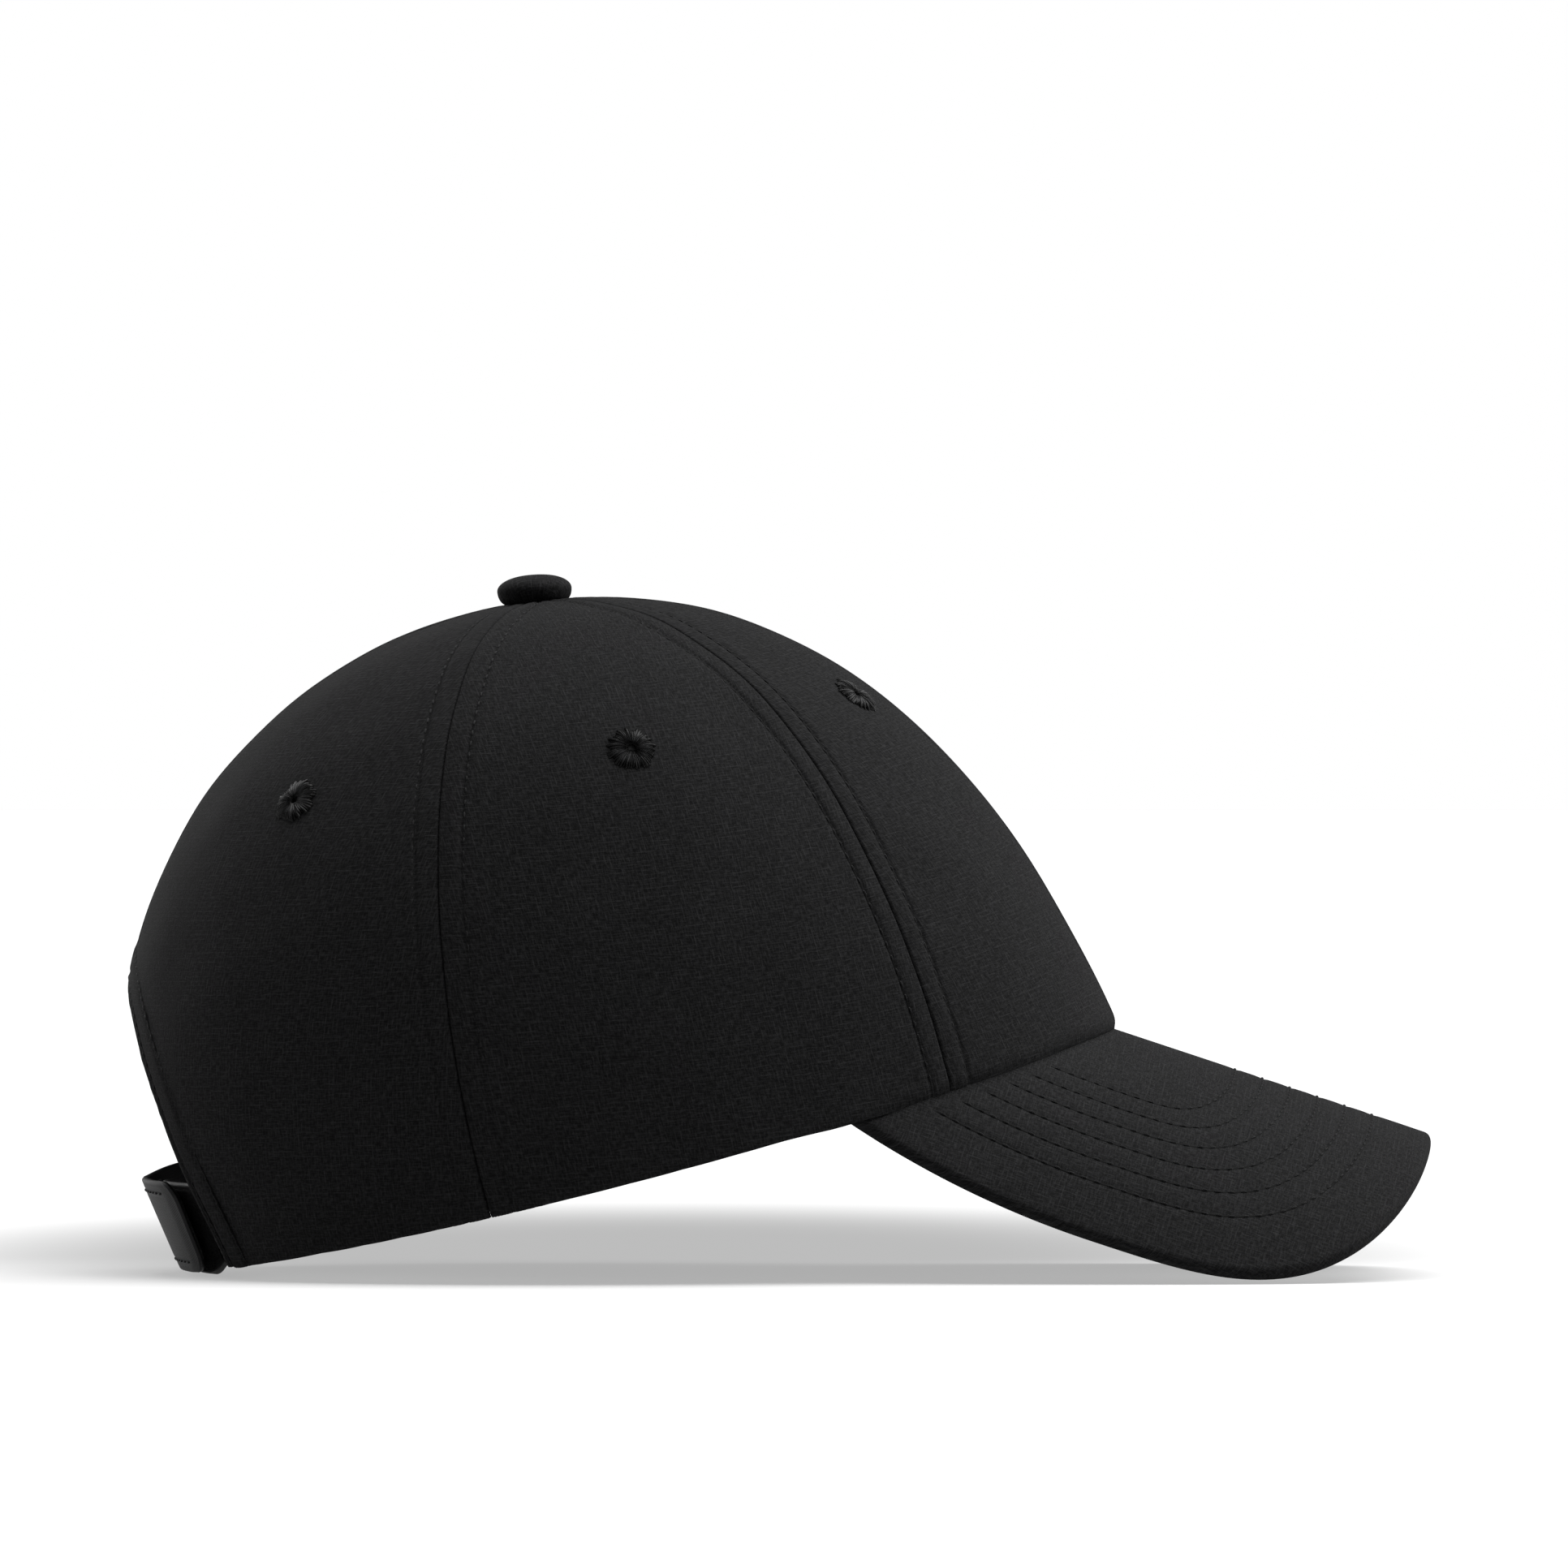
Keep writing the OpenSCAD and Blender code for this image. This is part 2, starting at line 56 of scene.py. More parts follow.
EDGE_HALF_WIDTH = 83.8
EDGE_HALF_LENGTH = 99.3
EDGE_EGG = 0.07
EDGE_MID_Y = 27.6
EDGE_MID_Z = 22.3
EDGE_RISE = 26.4
EDGE_CURL = 4.3
APEX = np.array([0, 51.2, 142.0])
APEX_SLOPE = 6.1
APEX_HOLE = 3
CROWN_TILT = 13
# Front, side and back values of the meridian curves
APEX_PULL = [44.7, 67.4, 68.4]
EDGE_PULL = [84, 65.9, 69.7]
EDGE_LEAN = [-11.2, 7.6, 15.9]
CLOTH_T = 0.8
FRONT_SEAM = 50
BACK_SEAM = 109
ARCH_FOOT = 152
ARCH_TOP = 0.67
ARCH_POWER = 2/1.8
VISOR_LEAVE = 52
FREE_EDGE = 76
SEAT_GAP = 0.7
VISOR_PITCH = math.radians(18.35)
VISOR_R = 92
VISOR_HALF_ARC = 90.8
VISOR_REACH = 63.8
VISOR_TAIL = 123
VISOR_SQUARE = 3.4
VISOR_WIDEST = 4.8
VISOR_CORNER = 124
ROOT_CORNER = 61
ROOT_Y = -72.8
ROOT_Z = 50.8
VISOR_T = 4
VISOR_CLOTH = 0.7
# The visor's cloths come closer together at the rim than the CAD's do
VISOR_RIM_T = 2.5
SEAM_ALLOWANCE = 2.4
STIFF_DEPTH = (1.05, 1.55)
TAPE_DEPTH = (1.9, 2.3)
TAPE_HALF_W = 5.5
TAPE_BEND_R = 75
BAND_DEPTH = (3.4, 6)
BAND_W = 30
BAND_CLOTH = 0.6
BAND_END = 146
FRONT_EYELET = (24, 0.54)
SIDE_EYELET = (79, 0.495)
BACK_EYELET = (135.5, 0.465)
STRAP_W = 21
STRAP_R = 63
STRAP_FLARE = math.radians(23.4)
STRAP_MID_Y = 63.7
TAB_T = 1.4
PAD_T = 0.9
HOOK_END = -25
LOOP_END = 16
SEWN = 41
HOOK_FLEX = 26
LOOP_FLEX = -33
HOOK_RISE = math.radians(1.2)
CORNER_R = 5
PAD_MARGIN = 2
REST_GAP = 0.7
LOOP_DEPTH = TAB_T + PAD_T + REST_GAP + PAD_T
LOOP_FOOT = -LOOP_DEPTH*math.tan(STRAP_FLARE)

# ---- Sewing

SIDES = ((1, "left"), (-1, "right"))
ROW_OFFSET = 5
STITCH_PITCH = 2.9
STITCH_L = 1.9
THREAD_R = 0.23
# Height of a stitch above its row's line, and how far its ends dip into the cloth
THREAD_LIFT = 0.13
THREAD_DIP = 0.34
VISOR_ROWS = 6
VISOR_ROW_GAP = 6.1
VISOR_FIRST_ROW = 13.4
ARCH_ROWS = (1.8, 7.4)


# ---- Small maths

def lerp(a, b, u):
    return a + (b - a)*u


def ease(u):
    c = np.clip(u, 0, 1)
    return c*c*(3 - 2*c)


def unit(v):
    return v/np.linalg.norm(v, axis=-1, keepdims=True)


def mirror(side):
    """Factors that carry a point on the left (1) to its own side."""
    return np.array([side, 1, 1])


def bump_at(x, middle, width):
    """A smooth bump of height 1 at middle."""
    return np.exp(-((x - middle)/width)**2)


def spacings(length, fine, coarse, fine_to, blend):
    """Places from 0 to length, close together near both ends and wider apart between."""
    places = [0.0]
    while places[-1] < length/2:
        step = lerp(fine, coarse, ease((places[-1] - fine_to)/blend))
        places.append(places[-1] + float(step))
    half = np.array(places)*(length/2)/places[-1]
    return np.concatenate([half, length - half[-2::-1]])


def run_length(points, axis):
    """Distance along a grid of points from its first row or column."""
    steps = np.linalg.norm(np.diff(points, axis=axis), axis=-1)
    start = np.zeros_like(np.take(steps, [0], axis=axis))
    return np.cumsum(np.concatenate([start, steps], axis=axis), axis=axis)


def resample(line, step):
    """Evenly spaced points along a polyline, about one step apart."""
    run = run_length(line, 0)
    n = max(2, int(round(run[-1]/step)) + 1)
    at = np.linspace(0, run[-1], n)
    return np.stack([np.interp(at, run, line[:, k]) for k in range(line.shape[1])], -1)


def distance_to(points, line):
    """Shortest distance from each point to a finely sampled line."""
    flat = points.reshape(-1, points.shape[-1])
    best = np.full(len(flat), np.inf)
    for chunk in np.array_split(line, max(1, len(line)//60)):
        gap = flat[:, None, :] - chunk[None, :, :]
        best = np.minimum(best, np.sqrt((gap**2).sum(-1)).min(1))
    return best.reshape(points.shape[:-1])


def ring_turns(count):
    return np.linspace(0, 2*math.pi, count, endpoint=False)


def roll(distance, height, depth):
    """How far a surface has turned inwards near an edge, as a quarter of an ellipse."""
    near = np.clip(1 - distance/height, 0, 1)
    return depth*(1 - np.sqrt(1 - near**2))


WAVE_RNG = np.random.default_rng(11)
WAVE_DIRECTIONS = unit(WAVE_RNG.normal(size=(9, 3)))
WAVE_LENGTHS = WAVE_RNG.uniform(17, 52, 9)
WAVE_PHASES = WAVE_RNG.uniform(0, 2*math.pi, 9)
WOBBLE = 0.045


def wobble(points):
    """Gentle unevenness of sewn cloth, the same for all layers at one place."""
    total = np.zeros(points.shape[:-1])
    for direction, length, phase in zip(WAVE_DIRECTIONS, WAVE_LENGTHS, WAVE_PHASES):
        total += np.sin(points @ direction*(2*math.pi/length) + phase)
    return WOBBLE*total


# ---- Crown surface

def around(v, phi):
    """Blends a front, a side and a back value by direction."""
    p = np.radians(phi)
    return ((v[0] + 2*v[1] + v[2])/4 + (v[0] - v[2])/2*np.cos(p)
            + (v[0] - 2*v[1] + v[2])/4*np.cos(2*p))


def visor_drop(x):
    """How far the visor's curve has dropped at a distance from its middle line."""
    return VISOR_R - np.sqrt(VISOR_R**2 - x**2)


def edge(phi):
    """Bottom edge of the crown; phi runs from the front (0) over the left to the back."""
    p = np.radians(phi)
    x = EDGE_HALF_WIDTH*np.sin(p)*(1 - EDGE_EGG*np.cos(p))
    y = EDGE_MID_Y - EDGE_HALF_LENGTH*np.cos(p)
    on_visor = (ROOT_Z + (y - ROOT_Y)*math.tan(VISOR_PITCH)
                - visor_drop(x)/math.cos(VISOR_PITCH) + SEAT_GAP)
    u = (EDGE_MID_Y - y)/100
    free = EDGE_MID_Z + EDGE_RISE*u + EDGE_CURL*u**2
    share = ease((np.abs(phi) - VISOR_LEAVE)/(FREE_EDGE - VISOR_LEAVE))
    return np.stack([x, y, lerp(on_visor, free, share)], -1)


def edge_out(phi):
    """Level direction out of the bottom edge."""
    p = np.radians(phi)
    return unit(np.stack([EDGE_HALF_LENGTH*np.sin(p),
                          -EDGE_HALF_WIDTH*(np.cos(p) - EDGE_EGG*np.cos(2*p)),
                          0*p], -1))


def edge_tangent(phi):
    """Direction in which a meridian leaves the bottom edge."""
    tilt = math.radians(CROWN_TILT)
    up = np.array([0, math.sin(tilt), math.cos(tilt)])
    out = edge_out(phi)
    out = unit(out - (out @ up)[..., None]*up)
    lean = np.radians(around(EDGE_LEAN, phi))[..., None]
    return up*np.cos(lean) + out*np.sin(lean)


def apex_tangent(phi):
    """Direction in which a meridian leaves the apex."""
    p = np.radians(phi)
    slope = math.radians(APEX_SLOPE)
    return np.stack([np.sin(p), -np.cos(p)*math.cos(slope),
                     np.cos(p)*math.sin(slope)], -1)


def crown(phi, t):
    """Point of the crown; t runs along a meridian from the apex (0) to the edge (1)."""
    phi, t = np.broadcast_arrays(np.asarray(phi, float), np.asarray(t, float))
    a = APEX + around(APEX_PULL, phi)[..., None]*apex_tangent(phi)
    e = edge(phi)
    b = e + around(EDGE_PULL, phi)[..., None]*edge_tangent(phi)
    t = t[..., None]
    s = 1 - t
    return s**3*APEX + 3*s**2*t*a + 3*s*t**2*b + t**3*e


def crown_out(phi, t):
    """Direction out of the crown's left half."""
    phi, t = np.broadcast_arrays(np.asarray(phi, float), np.asarray(t, float))
    down = crown(phi, t + 0.004) - crown(phi, t - 0.004)
    round_it = crown(phi + 0.4, t) - crown(phi - 0.4, t)
    return unit(np.cross(down, round_it))


def outwards(phi, t, side):
    return crown_out(phi, t)*mirror(side)


def inside(phi, t, depth, side=1):
    """Point below the crown's surface, on the left (side 1) or the right (side -1)."""
    surface = crown(phi, t)*mirror(side)
    depth = np.asarray(depth - wobble(surface))[..., None]
    return surface - depth*outwards(phi, t, side)


def above_edge(phi, height):
    """Meridian place that lies a given distance above the edge."""
    t = np.full(np.shape(phi), 0.85)
    foot = crown(phi, 1)
    for _ in range(4):
        reach = np.linalg.norm(crown(phi, t) - foot, axis=-1)
        t = 1 - (1 - t)*height/reach
    return t


def from_apex(phi, t):
    """Level distance from the apex."""
    return np.linalg.norm((crown(phi, t) - APEX)[..., :2], axis=-1)


def gap_angle(phi, t, width):
    """Change of direction that takes a point sideways by a width."""
    plan = np.maximum(from_apex(phi, t), 0.01)
    return np.degrees(np.arcsin(np.minimum(0.9, width/plan)))


def near_apex(phi, d):
    """Meridian place at a small distance from the apex."""
    return d/(3*around(APEX_PULL, phi))


def beside(phi, t, x, depth, side=1):
    """Point at a distance across a meridian; its depth follows the crown's curve."""
    phi, t = np.broadcast_arrays(np.asarray(phi, float), np.asarray(t, float))
    n = crown_out(phi, t)
    down = unit(crown(phi, t + 0.004) - crown(phi, t - 0.004))
    across = unit(np.cross(down, n))
    x = np.asarray(x)[..., None]
    surface = crown(phi, t)
    lift = wobble(surface*mirror(side))[..., None]
    point = surface + x*across - (depth + x**2/(2*TAPE_BEND_R) - lift)*n
    return point*mirror(side)


def arch_direction(angle):
    """Direction of the arch's edge; the angle runs from its foot (0) to its top (90)."""
    return 180 - (180 - ARCH_FOOT)*np.cos(np.radians(angle))**ARCH_POWER


def arch_t(phi):
    """Lowest meridian place in a direction, which rises over the rear arch."""
    c = np.clip((180 - np.asarray(phi, float))/(180 - ARCH_FOOT), 0, 1)
    sine = np.sqrt(1 - c**(2/ARCH_POWER))
    return 1 - (1 - ARCH_TOP)*sine**ARCH_POWER


# ---- Meshes

# Edges that bend more than this stay sharp
SHARP_FROM = 55


def pin_grain(mesh, uv):
    """Gives a mesh its grain coordinates, one pair in millimetres for each vertex."""
    corner = np.zeros(len(mesh.loops), np.int32)
    mesh.loops.foreach_get("vertex_index", corner)
    flat = uv.reshape(-1, 2)[corner]*MM
    layer = mesh.uv_layers.new(name="grain")
    layer.data.foreach_set("uv", flat.astype(np.float32).ravel())


def link_mesh(name, mesh):
    obj = bpy.data.objects.new(name, mesh)
    bpy.context.scene.collection.objects.link(obj)
    return obj


def mesh_object(name, points, faces, uv=None):
    """A smooth-shaded object from points in millimetres and lists of point numbers."""
    mesh = bpy.data.meshes.new(name)
    mesh.from_pydata((points*MM).tolist(), [], faces.tolist())
    if uv is not None:
        pin_grain(mesh, uv)
    mesh.polygons.foreach_set("use_smooth", np.ones(len(mesh.polygons), bool))
    mesh.set_sharp_from_angle(angle=math.radians(SHARP_FROM))
    return link_mesh(name, mesh)


def quads(rows, cols, first=0, flip=False, wrap_rows=False, wrap_cols=False):
    """Faces of a grid of points, whose rows or columns may close into a ring."""
    i = np.arange(rows if wrap_rows else rows - 1)[:, None]
    j = np.arange(cols if wrap_cols else cols - 1)[None, :]
    i, j = np.broadcast_arrays(i, j)
    i2 = (i + 1) % rows
    j2 = (j + 1) % cols
    corners = [i*cols + j, i2*cols + j, i2*cols + j2, i*cols + j2]
    faces = np.stack(corners, -1).reshape(-1, 4) + first
    return faces[:, ::-1] if flip else faces


def closed_sheet(name, outer, inner, uv, side=1):
    """A sheet between two grids of points, closed all round its border."""
    rows, cols = outer.shape[:2]
    half = rows*cols
    n = np.arange(half).reshape(rows, cols)
    border = np.concatenate([n[:-1, 0], n[-1, :-1], n[:0:-1, -1], n[0, :0:-1]])
    after = np.roll(border, -1)
    wall = np.stack([border, border + half, after + half, after], -1)
    faces = np.concatenate([quads(rows, cols), quads(rows, cols, half, True), wall])
    if side < 0:
        faces = faces[:, ::-1]
    points = np.concatenate([outer.reshape(-1, 3), inner.reshape(-1, 3)])
    both = np.concatenate([uv.reshape(-1, 2)]*2)
    return mesh_object(name, points, faces, both)


def ring_mesh(name, grid, uv):
    """A closed tube: both the rows and the columns of the grid close into rings."""
    rows, cols = grid.shape[:2]
    faces = quads(rows, cols, wrap_rows=True, wrap_cols=True)
    return mesh_object(name, grid.reshape(-1, 3), faces, uv)


def dress(obj, slot, material, *nodes):
    """Gives a piece its material in place of CAD nodes; slot is not used."""
    obj.data.materials.clear()
    obj.data.materials.append(material)
    if nodes:
        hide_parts(*nodes)


def on_cap(obj, slot, material, *nodes):
    """Puts a finished piece on the cap's body, in place of CAD nodes."""
    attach(obj, "cap")
    dress(obj, slot, material, *nodes)


def own_grain(grid):
    """Grain coordinates measured along a grid's own columns and rows."""
    return np.stack([run_length(grid, 1), run_length(grid, 0)], -1)


def make_lining(name, node, outer, inner, slot, material, side=1):
    """A sheet inside the crown, whose grain follows its outer face."""
    uv = own_grain(outer)
    piece = closed_sheet(name, outer, inner, uv, side)
    on_cap(piece, slot, material, node)


# ---- Stitching

STITCH_RINGS = 7
STITCH_SIDES = 6
# The two faces that close a six-sided tube's end
TUBE_END = np.array([[0, 1, 2, 3], [0, 3, 4, 5]])
# Size, depth and spacing of the near-black tubes of painted shade along the bottoms of the
# stitch rows
GROOVE_SHADE_R = 0.4
GROOVE_SHADE_SINK = 0.09
GROOVE_SHADE_FLATNESS = 0.45
GROOVE_SHADE_STEP = 0.9


def tube_faces(rings):
    """Faces of one six-sided tube that is closed at both ends."""
    last = (rings - 1)*STITCH_SIDES
    return np.concatenate([quads(rings, STITCH_SIDES, wrap_cols=True), TUBE_END,
                           TUBE_END[:, ::-1] + last])


def along_line(values, run, at):
    """Values of a polyline at given distances along it."""
    return np.stack([np.interp(at, run, values[:, k]) for k in range(3)], -1)


def stitch_lines(name, lines, pitch=STITCH_PITCH, seed=1):
    """Rows of short threads. Each line is (points, outward directions) along a seam."""
    rng = np.random.default_rng(seed)
    share = np.linspace(-1, 1, STITCH_RINGS)
    height = (THREAD_LIFT - THREAD_DIP*np.abs(share)**3)[None, :, None]
    thick = THREAD_R*np.sqrt(np.clip(1 - 0.92*np.abs(share)**4, 0, 1))
    turn = ring_turns(STITCH_SIDES)[None, None, :, None]
    one = tube_faces(STITCH_RINGS)
    size = STITCH_RINGS*STITCH_SIDES
    points = []
    for line, out in lines:
        run = run_length(line, 0)
        count = int(run[-1]/pitch)
        middle = (np.arange(count) + 0.5)*run[-1]/count + rng.normal(0, 0.05, count)
        at = middle[:, None] + share*STITCH_L/2*rng.uniform(0.9, 1.05, count)[:, None]
        centre = along_line(line, run, at)
        up = unit(along_line(out, run, at))
        across = np.cross(unit(np.gradient(centre, axis=1)), up)
        skew = rng.normal(0, 0.035, count)[:, None, None]
        centre = centre + up*height + across*skew*share[None, :, None]
        ring = up[:, :, None]*np.cos(turn) + across[:, :, None]*np.sin(turn)
        tube = centre[:, :, None] + ring*thick[None, :, None, None]
        points.append(tube.reshape(-1, 3))
    points = np.concatenate(points)
    first = np.arange(len(points)//size)*size
    return mesh_object(name, points, (one[None] + first[:, None, None]).reshape(-1, 4))


def groove_shade_lines(name, lines):
    """Painted shade: a near-black tube along the bottom of each row, where the needle has drawn
    the cloth in, darkening the groove.
    """
    turn = ring_turns(STITCH_SIDES)[None, :, None]
    points, faces, start = [], [], 0
    for line, out in lines:
        both = resample(np.concatenate([line, out], 1), GROOVE_SHADE_STEP)
        centre, up = both[:, :3], unit(both[:, 3:])
        across = np.cross(unit(np.gradient(centre, axis=0)), up)
        ring = across[:, None]*np.cos(turn) + up[:, None]*GROOVE_SHADE_FLATNESS*np.sin(turn)
        tube = (centre - GROOVE_SHADE_SINK*up)[:, None] + GROOVE_SHADE_R*ring
        faces.append(tube_faces(len(centre)) + start)
        points.append(tube.reshape(-1, 3))
        start += tube.shape[0]*STITCH_SIDES
    return mesh_object(name, np.concatenate(points), np.concatenate(faces))


# ---- Procedural materials

def new_node(tree, kind, inputs=None, **settings):
    made = tree.nodes.new(kind)
    for key, value in settings.items():
        setattr(made, key, value)
    for key, value in (inputs or {}).items():
        if isinstance(value, bpy.types.NodeSocket):
            tree.links.new(value, made.inputs[key])
        else:
            made.inputs[key].default_value = value
    return made


def maths(tree, operation, a, b=None, c=None):
    inputs = {0: a}
    if b is not None:
        inputs[1] = b
    if c is not None:
        inputs[2] = c
    return new_node(tree, "ShaderNodeMath", inputs, operation=operation).outputs[0]


def remap(tree, value, low, high, to_low=0.0, to_high=1.0):
    made = new_node(tree, "ShaderNodeMapRange", {0: value, 1: low, 2: high,
                                                 3: to_low, 4: to_high})
    return made.outputs[0]


def blend_colour(tree, share, a, b):
    made = new_node(tree, "ShaderNodeMix", {0: share}, data_type="RGBA")
    made.inputs[6].default_value = (*a, 1)
    made.inputs[7].default_value = (*b, 1)
    return made.outputs[2]


def streaks(tree, coords, across, along, detail=2.0, shift=0.0):
    """Noise drawn out into threads; both sizes are in millimetres."""
    scale = (1/(across*MM), 1/(along*MM), 1/(across*MM))
    placed = new_node(tree, "ShaderNodeMapping", {"Vector": coords, "Scale": scale,
                                                  "Location": (shift, shift, shift)})
    noise = new_node(tree, "ShaderNodeTexNoise", {"Vector": placed.outputs[0],
                                                  "Scale": 1.0, "Detail": detail})
    return noise.outputs[0]


def grain_coords(tree):
    return new_node(tree, "ShaderNodeUVMap", uv_map="grain").outputs[0]


def object_coords(tree):
    return new_node(tree, "ShaderNodeTexCoord").outputs["Object"]


def start_material(name, roughness, specular):
    material = bpy.data.materials.new(name)
    material.use_nodes = True
    tree = material.node_tree
    shader = tree.nodes["Principled BSDF"]
    shader.inputs["Roughness"].default_value = roughness
    shader.inputs["Specular IOR Level"].default_value = specular
    return material, tree, shader


def finish_material(material, tree, shader, colour, height, distance):
    """Links a colour and a bump; the bump's distance is in metres."""
    tree.links.new(colour, shader.inputs["Base Color"])
    bump = new_node(tree, "ShaderNodeBump", {"Height": height, "Distance": distance})
    tree.links.new(bump.outputs[0], shader.inputs["Normal"])
    return material


def thread_grid(tree, coord, pitch, share):
    """1 on evenly spaced threads, 0 between them, along one coordinate."""
    turn = maths(tree, "FRACT", maths(tree, "MULTIPLY", coord, 1/(pitch*MM)))
    centre = maths(tree, "ABSOLUTE", maths(tree, "SUBTRACT", turn, 0.5))
    return remap(tree, centre, share, 0.0)


CLOTH_ROUGHNESS = 0.85
CLOTH_GLOSS = 0.04
CLOTH_BUMP = 0.000035
# Slubs are short thick places in the yarn: width and length
SLUB = (0.3, 1.5)
# The grid of thicker threads: pitch, share of it that a thread takes, and the streaks
# and their range that break the threads up
GRID_PITCH = 1.0
GRID_SHARE = 0.24
GRID_BREAK = (0.9, 4.5)
GRID_BREAK_RANGE = (0.42, 0.64)


def broken_threads(tree, coords, coord, across, along, shift):
    """Evenly spaced threads that fade in and out along their length."""
    shown = remap(tree, streaks(tree, coords, across, along, shift=shift), *GRID_BREAK_RANGE)
    return maths(tree, "MULTIPLY", thread_grid(tree, coord, GRID_PITCH, GRID_SHARE), shown)


def ripstop_cloth(name, dark, light):
    """Black heathered cloth: slubs both ways, and a broken grid of thicker threads."""
    material, tree, shader = start_material(name, CLOTH_ROUGHNESS, CLOTH_GLOSS)
    coords = grain_coords(tree)
    split = new_node(tree, "ShaderNodeSeparateXYZ", {0: coords})
    warp = streaks(tree, coords, *SLUB)
    weft = streaks(tree, coords, *SLUB[::-1], shift=7.0)
    lines_warp = broken_threads(tree, coords, split.outputs[0], *GRID_BREAK, 3.0)
    lines_weft = broken_threads(tree, coords, split.outputs[1], *GRID_BREAK[::-1], 11.0)
    lines = maths(tree, "MAXIMUM", lines_warp, lines_weft)
    slubs = maths(tree, "ADD", remap(tree, warp, 0.4, 0.7), remap(tree, weft, 0.4, 0.7))
    cloudy = streaks(tree, coords, 14, 20, detail=3.0)
    tone = maths(tree, "MULTIPLY_ADD", slubs, 0.42, maths(tree, "MULTIPLY", lines, 0.4))
    tone = maths(tree, "MULTIPLY_ADD", cloudy, 0.16, tone)
    colour = blend_colour(tree, remap(tree, tone, 0.15, 0.95), dark, light)
    height = maths(tree, "MULTIPLY_ADD", slubs, 0.5, lines)
    return finish_material(material, tree, shader, colour, height, CLOTH_BUMP)


def plain_weave(name, dark, light, pitch, roughness, specular, depth):
    """Two sets of crossing threads, for tapes, linings and webbing."""
    material, tree, shader = start_material(name, roughness, specular)
    coords = grain_coords(tree)
    split = new_node(tree, "ShaderNodeSeparateXYZ", {0: coords})
    warp = thread_grid(tree, split.outputs[0], pitch, 0.5)
    weft = thread_grid(tree, split.outputs[1], pitch, 0.5)
    weave = maths(tree, "MULTIPLY", warp, weft)
    patchy = streaks(tree, coords, 0.6, 4.0)
    tone = maths(tree, "MULTIPLY_ADD", weave, 0.45, maths(tree, "MULTIPLY", patchy, 0.8))
    colour = blend_colour(tree, remap(tree, tone, 0.15, 1.0), dark, light)
    return finish_material(material, tree, shader, colour, weave, depth)


THREAD_FIBRE = 0.25
THREAD_BUMP = 0.00003


def thread_material(name, dark, light, roughness, specular):
    """Spun thread with an uneven tone; near-black, it also makes the painted shade in the
    stitch rows.
    """
    material, tree, shader = start_material(name, roughness, specular)
    fine = streaks(tree, object_coords(tree), THREAD_FIBRE, THREAD_FIBRE)
    colour = blend_colour(tree, remap(tree, fine, 0.35, 0.65), dark, light)
    return finish_material(material, tree, shader, colour, fine, THREAD_BUMP)


# Radii between which the embroidery goes from painted shade in the hole to a painted highlight
# on its crest, and back to painted shade at its outer ends
SHADE_TO_HIGHLIGHT = (1.4, 2.0)
HIGHLIGHT_TO_SHADE = (4.6, 3.2)


def embroidery_thread(name):
    """Satin stitches: a painted highlight on the crest round the hole, painted shade in it and
    at the ends.
    """
    material, tree, shader = start_material(name, 0.4, 0.1)
    coords = grain_coords(tree)
    radius = new_node(tree, "ShaderNodeSeparateXYZ", {0: coords}).outputs[1]
    rising = remap(tree, radius, SHADE_TO_HIGHLIGHT[0]*MM, SHADE_TO_HIGHLIGHT[1]*MM)
    falling = remap(tree, radius, HIGHLIGHT_TO_SHADE[0]*MM, HIGHLIGHT_TO_SHADE[1]*MM)
    uneven = remap(tree, streaks(tree, coords, THREAD_FIBRE, 3.0), 0.38, 0.62)
    # crest is the painted highlight, mixed with random uneven tone; where it is low the
    # near-black is painted shade
    crest = maths(tree, "MULTIPLY", maths(tree, "MULTIPLY", rising, falling), uneven)
    colour = blend_colour(tree, crest, grey(0.0012), grey(0.021))
    return finish_material(material, tree, shader, colour, uneven, THREAD_BUMP)


def webbing_cloth(name, dark, light):
    """Satin strap cloth with a fine rib across it and slightly worn, paler patches."""
    material, tree, shader = start_material(name, 0.5, 0.06)
    coords = grain_coords(tree)
    split = new_node(tree, "ShaderNodeSeparateXYZ", {0: coords})
    rib = thread_grid(tree, split.outputs[0], 0.5, 0.5)
    cross = thread_grid(tree, split.outputs[1], 0.7, 0.5)
    weave = maths(tree, "MULTIPLY_ADD", cross, 0.4, rib)
    patchy = streaks(tree, coords, 3, 9, detail=3.0)
    tone = maths(tree, "MULTIPLY_ADD", weave, 0.16, patchy)
    colour = blend_colour(tree, remap(tree, tone, 0.3, 0.95), dark, light)
    return finish_material(material, tree, shader, colour, weave, 0.00005)


def speckled(name, dark, light, size, roughness, specular, depth, metallic=0.0):
    """Solid material with fine uneven tone, for steel, board, foam and pads."""
    material, tree, shader = start_material(name, roughness, specular)
    shader.inputs["Metallic"].default_value = metallic
    coords = object_coords(tree)
    fine = streaks(tree, coords, size, size, detail=4.0)
    broad = streaks(tree, coords, 12*size, 12*size, shift=5.0)
    tone = maths(tree, "MULTIPLY_ADD", broad, 0.5, maths(tree, "MULTIPLY", fine, 0.5))
    colour = blend_colour(tree, remap(tree, tone, 0.3, 0.7), dark, light)
    return finish_material(material, tree, shader, colour, fine, depth)


def grey(level):
    """A neutral colour with a slightly cool cast."""
    return level, level, level*1.03


CROWN_CLOTH = ripstop_cloth("crown_cloth", grey(0.0032), grey(0.0152))
THREAD = thread_material("sewing_thread", grey(0.0055), grey(0.014), 0.6, 0.04)
